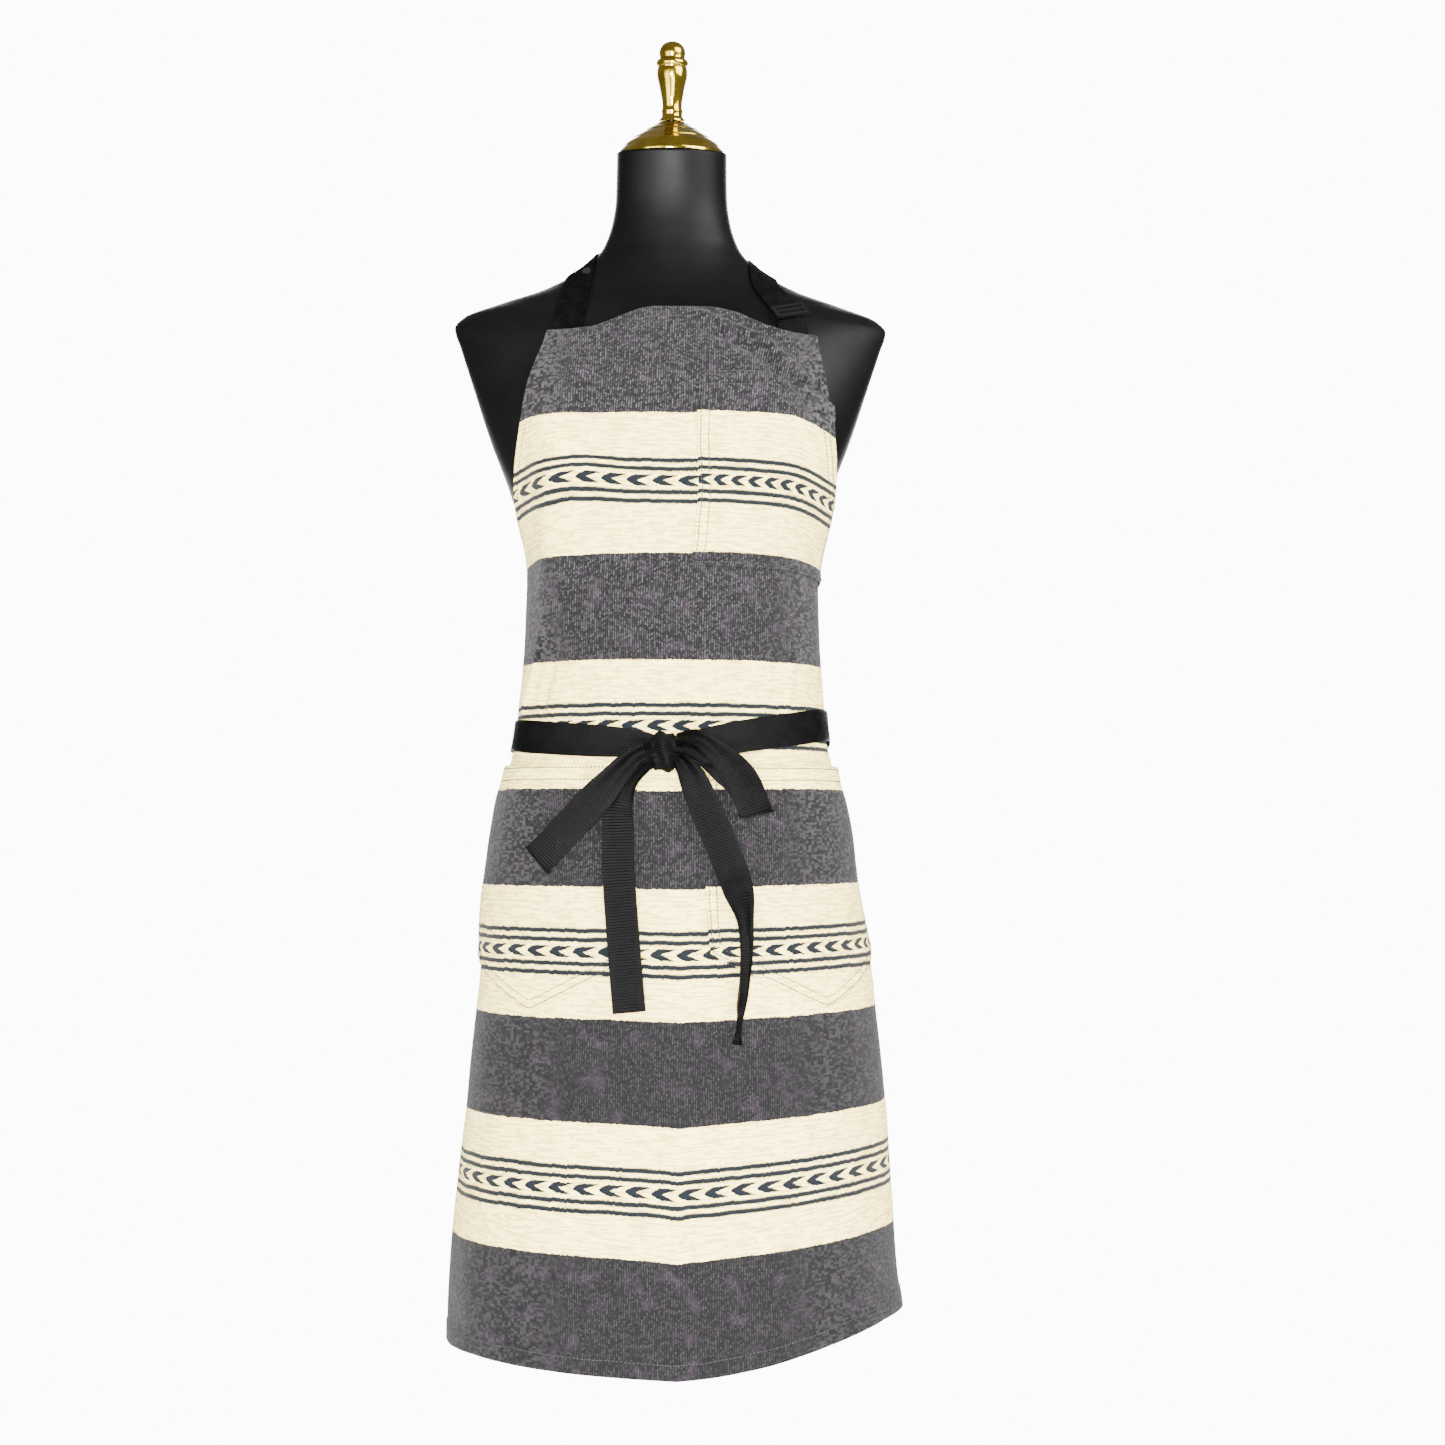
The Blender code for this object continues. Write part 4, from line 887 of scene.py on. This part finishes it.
# ---- webbing pieces
def waist_rows(path, count=120):
    """Ribbon rows round the waist; path holds (along, height, width, lift) stations."""
    fine, _ = evened(path[:, None, :3], count)
    share = np.linspace(0, len(path) - 1, count)
    lift = np.interp(share, np.arange(len(path)), path[:, 3])
    along, height, width = fine[:, 0, 0], fine[:, 0, 1], fine[:, 0, 2]
    across = np.linspace(0.5, -0.5, COLUMNS)[None, :]
    z = height[:, None] + width[:, None] * across
    # the webbing ripples a little, and folds on itself where the knot gathers it in
    gather = (RIBBON - width) / RIBBON
    ripple = 0.0005 * soft_noise(along[:, None], z, 0.03, 51) + 0.004 * gather[:, None] * np.cos(across * 8.5)
    return HANG.point(z, along[:, None] + 0 * across, lift[:, None] + ripple)


def build_waist_ties(mat):
    """Each tie runs from its corner of the cloth round the back, and to the knot from the other side."""
    around = 2 * float(np.interp(0.315, HANG.heights, HANG.half))
    along = np.array((SEWN_AT, around / 2, *(around - left for left in (0.25, 0.17, 0.1, 0.04, 0.012))))
    ties = []
    for name, side, behind, taper, heights in (
        ("tie_round_right_side", -1, 0.004, 0.0225, (0.298, 0.302, 0.314, 0.33, 0.324, 0.315, 0.3105)),
        ("tie_round_left_side", 1, 0.0058, 0.0235, (0.3, 0.303, 0.314, 0.3205, 0.3165, 0.312, 0.309)),
    ):
        widths, lifts = [RIBBON] * 5 + [taper, 0.017], [behind] * 3 + [0.0028, 0.0022, 0.0024, 0.004]
        ties.append(grosgrain(name, waist_rows(np.stack((side * along, heights, widths, lifts), axis=-1)), mat))
    return ties


def strip(points, widths, count, aim, cup, twist=((0, 0), (1, 0))):
    """Ribbon rows along a free path; its face looks along aim, turned by twist degrees along its run."""
    centre, spots = evened(np.array(points, float)[:, None, :], count)
    centre = centre[:, 0]
    share = spots / spots[-1]
    tangent = np.gradient(centre, axis=0)
    tangent /= np.linalg.norm(tangent, axis=1, keepdims=True)
    across = np.cross(tangent, np.array(aim))
    across /= np.linalg.norm(across, axis=1, keepdims=True)
    face = np.cross(across, tangent)
    angle = np.radians(np.interp(share, *zip(*twist)))[:, None]
    across, face = across * np.cos(angle) + face * np.sin(angle), face * np.cos(angle) - across * np.sin(angle)
    width = steady(widths, 1, share)
    side = np.linspace(-0.5, 0.5, COLUMNS)
    gather = np.clip((RIBBON - width) / RIBBON, 0, 1)[:, None]
    rows = centre[:, None, :] + across[:, None, :] * (side[None, :, None] * width[:, None, None])
    # gathered webbing ripples across its width, until it is gathered so far that it has no room to
    ripple = 0.0045 * gather * np.cos(side * 9.5) * (1 - ease((gather - 0.66) / 0.12))
    curl = cup * (side**2 * 4 - 0.4) + ripple
    return rows + face[:, None, :] * curl[..., None]


def in_front(x, z, off):
    """A point that stands off in front of the skirt."""
    spots = HANG.place(z, np.linspace(0.0, 0.24, 400))
    y = float(np.interp(abs(x), spots[:, 0], spots[:, 1]))
    return (x, y - off, z)


def bow_path(front, points):
    """Points (x, z, off) of the bow: off the flat cloth beside the knot, and off the skirt beyond it."""
    return [(x, front - off, z) if abs(x) < BESIDE_KNOT and z > BELOW_KNOT else in_front(x, z, off)
            for x, z, off in points]


def build_bow(mat):
    front = float(HANG.place(KNOT_Z, 0.0)[1]) - 0.0006
    full = RIBBON
    made = {}
    # left loop: the front layer out, round the far fold, the rear layer back
    out = bow_path(front, ((-0.012, 0.306, 0.018), (-0.028, 0.299, 0.02), (-0.055, 0.27, 0.02),
                           (-0.08, 0.243, 0.021)))
    x, y, z = in_front(-0.103, 0.219, 0.02)
    fold = [(x + 0.006, y - 0.004, z + 0.006), (x, y - 0.0004, z), (x + 0.006, y + 0.0032, z + 0.006)]
    x, y, z = out[2]
    back = [(x, y + 0.0045, z), *bow_path(front, ((-0.026, 0.296, 0.015), (-0.012, 0.3, 0.014)))]
    widths = ((0, 0.013), (0.12, 0.019), (0.25, full), (0.75, full), (0.9, 0.016), (1, 0.012))
    made["bow_loop_left"] = strip(out + fold + back, widths, 160, aim=(-0.05, -1.0, 0.0), cup=-0.0008)
    # right loop: over the top, then hanging down
    path = bow_path(front, (
        (0.006, 0.313, 0.0185), (0.024, 0.314, 0.024), (0.044, 0.298, 0.025), (0.058, 0.283, 0.0225),
        (0.0665, 0.264, 0.0195), (0.069, 0.256, 0.0165), (0.066, 0.264, 0.0125), (0.056, 0.281, 0.0135),
        (0.042, 0.293, 0.015), (0.023, 0.304, 0.016), (0.008, 0.306, 0.014)))
    widths = ((0, 0.011), (0.15, 0.016), (0.3, 0.0235), (0.42, full), (0.75, full), (0.9, 0.016), (1, 0.012))
    made["bow_loop_right"] = strip(path, widths, 150, aim=(0.1, -1.0, 0.05), cup=-0.001)
    path = bow_path(front, (
        (-0.009, 0.299, 0.012), (-0.021, 0.293, 0.01), (-0.034, 0.279, 0.0075), (-0.0395, 0.26, 0.007),
        (-0.0395, 0.238, 0.0072), (-0.0385, 0.205, 0.0075), (-0.034, 0.15, 0.0078), (-0.0295, 0.1015, 0.0085)))
    widths = ((0, 0.01), (0.1, 0.014), (0.2, 0.02), (0.32, full), (1, 0.0258))
    made["bow_tail_left"] = strip(path, widths, 120, aim=(-0.04, -1.0, 0.0), cup=0.0004)
    # right tail: gathered and turned edge on towards its end
    path = bow_path(front, (
        (0.007, 0.302, 0.016), (0.017, 0.287, 0.0168), (0.028, 0.262, 0.01), (0.041, 0.232, 0.0085),
        (0.052, 0.205, 0.0085), (0.06, 0.176, 0.009), (0.0615, 0.148, 0.0095), (0.06, 0.122, 0.009),
        (0.0565, 0.098, 0.0085), (0.054, 0.077, 0.008)))
    widths = ((0, 0.012), (0.12, 0.023), (0.25, full), (0.48, full), (0.6, 0.016), (0.75, 0.011),
              (0.88, 0.0078), (0.95, 0.005), (1, 0.0085))
    twist = ((0, 0), (0.4, 0), (0.6, 32), (0.8, 40), (1, 30))
    made["bow_tail_right"] = strip(path, widths, 150, aim=(0.04, -1.0, 0.0), twist=twist, cup=0.0003)
    bow = {name: grosgrain(name + "_ribbon", rows, mat) for name, rows in made.items()}
    return {name: bow[name] for name in BOW_NODES}, front


def build_knot(front, mat):
    """The knot: one turn of webbing wrapped round the crossing, and the pinched fold beside it."""
    count = 60
    rows = []
    for k in range(count):
        share = k / (count - 1)
        a = math.radians(-100 + 362 * share)
        centre = Vector((-0.0035 - 0.004 * math.sin(a), front - 0.0125 - KNOT_DEEP * math.cos(a),
                         0.3055 + KNOT_HIGH * math.sin(a) - 0.0015 * share))
        out = Vector((0.0, -math.cos(a) / KNOT_DEEP, math.sin(a) / KNOT_HIGH)).normalized()
        across = Vector((0.0215 - 0.003 * math.cos(a), 0.0, 0.006))
        row = []
        for j in range(COLUMNS):
            side = j / (COLUMNS - 1) - 0.5
            puff = 0.0016 * math.cos(side * 10.5) - 0.004 * (2 * side) ** 2
            row.append(tuple(centre + across * side + out * puff))
        rows.append(row)
    path = [(0.004, front - 0.0175, 0.306), (0.015, front - 0.022, 0.3075), (0.027, front - 0.0235, 0.3),
            (0.035, front - 0.0215, 0.292)]
    widths = ((0, 0.01), (0.4, 0.019), (0.75, 0.015), (1, 0.004))
    fold = strip(path, widths, 60, aim=(0.25, -1.0, 0.55), cup=0.0022)
    return grosgrain("knot_wrap", rows, mat)[0], grosgrain("knot_inner_fold", fold, mat)[0]


def settle(piece, body, node=None):
    """The piece rides on that body and, where a node is named, shows in its place."""
    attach(piece, body)
    if node:
        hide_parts(node)


def dress_apron():
    """The panel, and the pockets and stitches that are sewn on to it."""
    panel = build_panel(woven_cloth("striped_cloth_panel", ARROW))
    right_cloth = woven_cloth("striped_cloth_right_pocket", 0.0176, 0.0014)
    left_cloth = woven_cloth("striped_cloth_left_pocket", ARROW, 0.001)
    left = build_hip_pocket("hip_patch_pocket_left", -1, left_cloth)
    right = build_hip_pocket("hip_patch_pocket_right", 1, right_cloth)
    chest = build_chest_pocket(woven_cloth("striped_cloth_chest_pocket", 0.0139, 0.0014))
    sew_panel()
    stitches = build_stitches(thread())
    for piece, node in ((panel, "apron_panel"), (left, "hip_pocket_left"), (right, "hip_pocket_right"),
                        (chest, "chest_pocket"), (stitches, None)):
        settle(piece, ROOT, node)
    return panel, [chest, left, right, stitches]


def dress_form():
    """The form's shell, with its turned cap and finial."""
    settle(build_torso(form_cover()), ROOT, "torso_shell")
    shine = gold()
    settle(turned("neck_cap_turned", CAP_PROFILE, shine), ROOT, "neck_cap")
    settle(turned("finial_turned", FINIAL_PROFILE, shine), "finial_body", "finial")


def dress_webbing():
    """The neck strap, the waist ties and the bow: the hung and the draped ribbons, with their lengths."""
    black = webbing()
    tree = outer_tree()
    strap = grosgrain("neck_strap_webbing", wrapped_rows(tree, STRAP_PATH, 140), black)
    tab = grosgrain("neck_strap_tab_webbing", wrapped_rows(tree, TAB_PATH, 12), black)
    tie_left, tie_right = build_waist_ties(black)
    bow, front = build_bow(black)
    wrap, fold = build_knot(front, black)
    settle(wrap, ROOT, "bow_knot")
    settle(fold, ROOT)
    draped = (strap, tab, tie_left, tie_right)
    for node, (piece, _) in zip(("neck_strap", "neck_strap_tab", "waist_tie_left", "waist_tie_right"), draped):
        settle(piece, ROOT, node)
    for node, (piece, _) in bow.items():
        settle(piece, "bow_left" if "left" in node else "bow_right", node)
    return bow.values(), draped


def declare_sheets(panel, sewn_on, hung, draped):
    area = 2 * CLOTH_LENGTH * float(side_width(np.linspace(0, CLOTH_LENGTH, 400)).mean())


def finish_hardware():
    """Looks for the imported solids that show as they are."""
    board, zinc = plywood(), steel("zinc_steel", 0.55, 0.32)
    finishes = {"base_board": board, "neck_board": board, "strap_slider": black_plastic(),
                "strap_stud": steel("dull_stud_metal", 0.11, 0.26)}
    screws = [f"socket_screw_{k}" for k in range(1, 5)]
    for node in ("finial_stud", "stud_nut", "stand_socket", "pole_clamp_screw", *screws):
        finishes[node] = zinc
    for node, mat in finishes.items():
        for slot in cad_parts[node].material_slots:
            slot.material = mat


def add_stage():
    bpy.ops.mesh.primitive_plane_add(size=4.0, location=(0.0, 0.0, -0.95))
    floor = bpy.context.active_object
    floor.name = "floor"
    mat = bpy.data.materials.new("pale_floor")
    mat.use_nodes = True
    shader = mat.node_tree.nodes["Principled BSDF"]
    shader.inputs["Base Color"].default_value = grey(0.9)
    shader.inputs["Roughness"].default_value = 0.9
    floor.data.materials.append(mat)
    world = bpy.data.worlds.new("studio")
    bpy.context.scene.world = world
    world.use_nodes = True
    nodes, links = world.node_tree.nodes, world.node_tree.links
    # a bright backdrop behind the form, and a dimmer room around it
    way, parts, fade = (nodes.new("ShaderNode" + kind) for kind in ("TexCoord", "SeparateXYZ", "MapRange"))
    links.new(way.outputs["Generated"], parts.inputs[0])
    links.new(parts.outputs[1], fade.inputs["Value"])
    fade.interpolation_type = "SMOOTHSTEP"
    for key, value in (("From Min", 0.73), ("From Max", 0.855), ("To Min", 0.35), ("To Max", 12.0)):
        fade.inputs[key].default_value = value
    links.new(fade.outputs[0], nodes["Background"].inputs[1])
    nodes["Background"].inputs[0].default_value = grey(1.0)
    for name, place, size, power, target in (
        ("key", (2.2, -1.8, 1.7), 2.4, 330.0, (0, 0, 0.0)),
        ("front", (-0.14, -2.7, 0.3), 0.45, 350.0, (0, 0, -0.1)),
        ("fill", (-1.8, -2.2, 0.1), 1.8, 110.0, (0, 0, -0.1)),
        ("low", (0.3, -2.4, -0.55), 0.9, 55.0, (0, 0, -0.1)),
    ):
        data = bpy.data.lights.new(name, "AREA")
        data.size, data.energy = size, power
        light = bpy.data.objects.new(name, data)
        light.location = place
        aim = Vector(target) - Vector(place)
        light.rotation_euler = aim.to_track_quat("-Z", "Y").to_euler()
        bpy.context.scene.collection.objects.link(light)


add_camera()
sewn_sheets = dress_apron()
dress_form()
declare_sheets(*sewn_sheets, *dress_webbing())
finish_hardware()
add_stage()
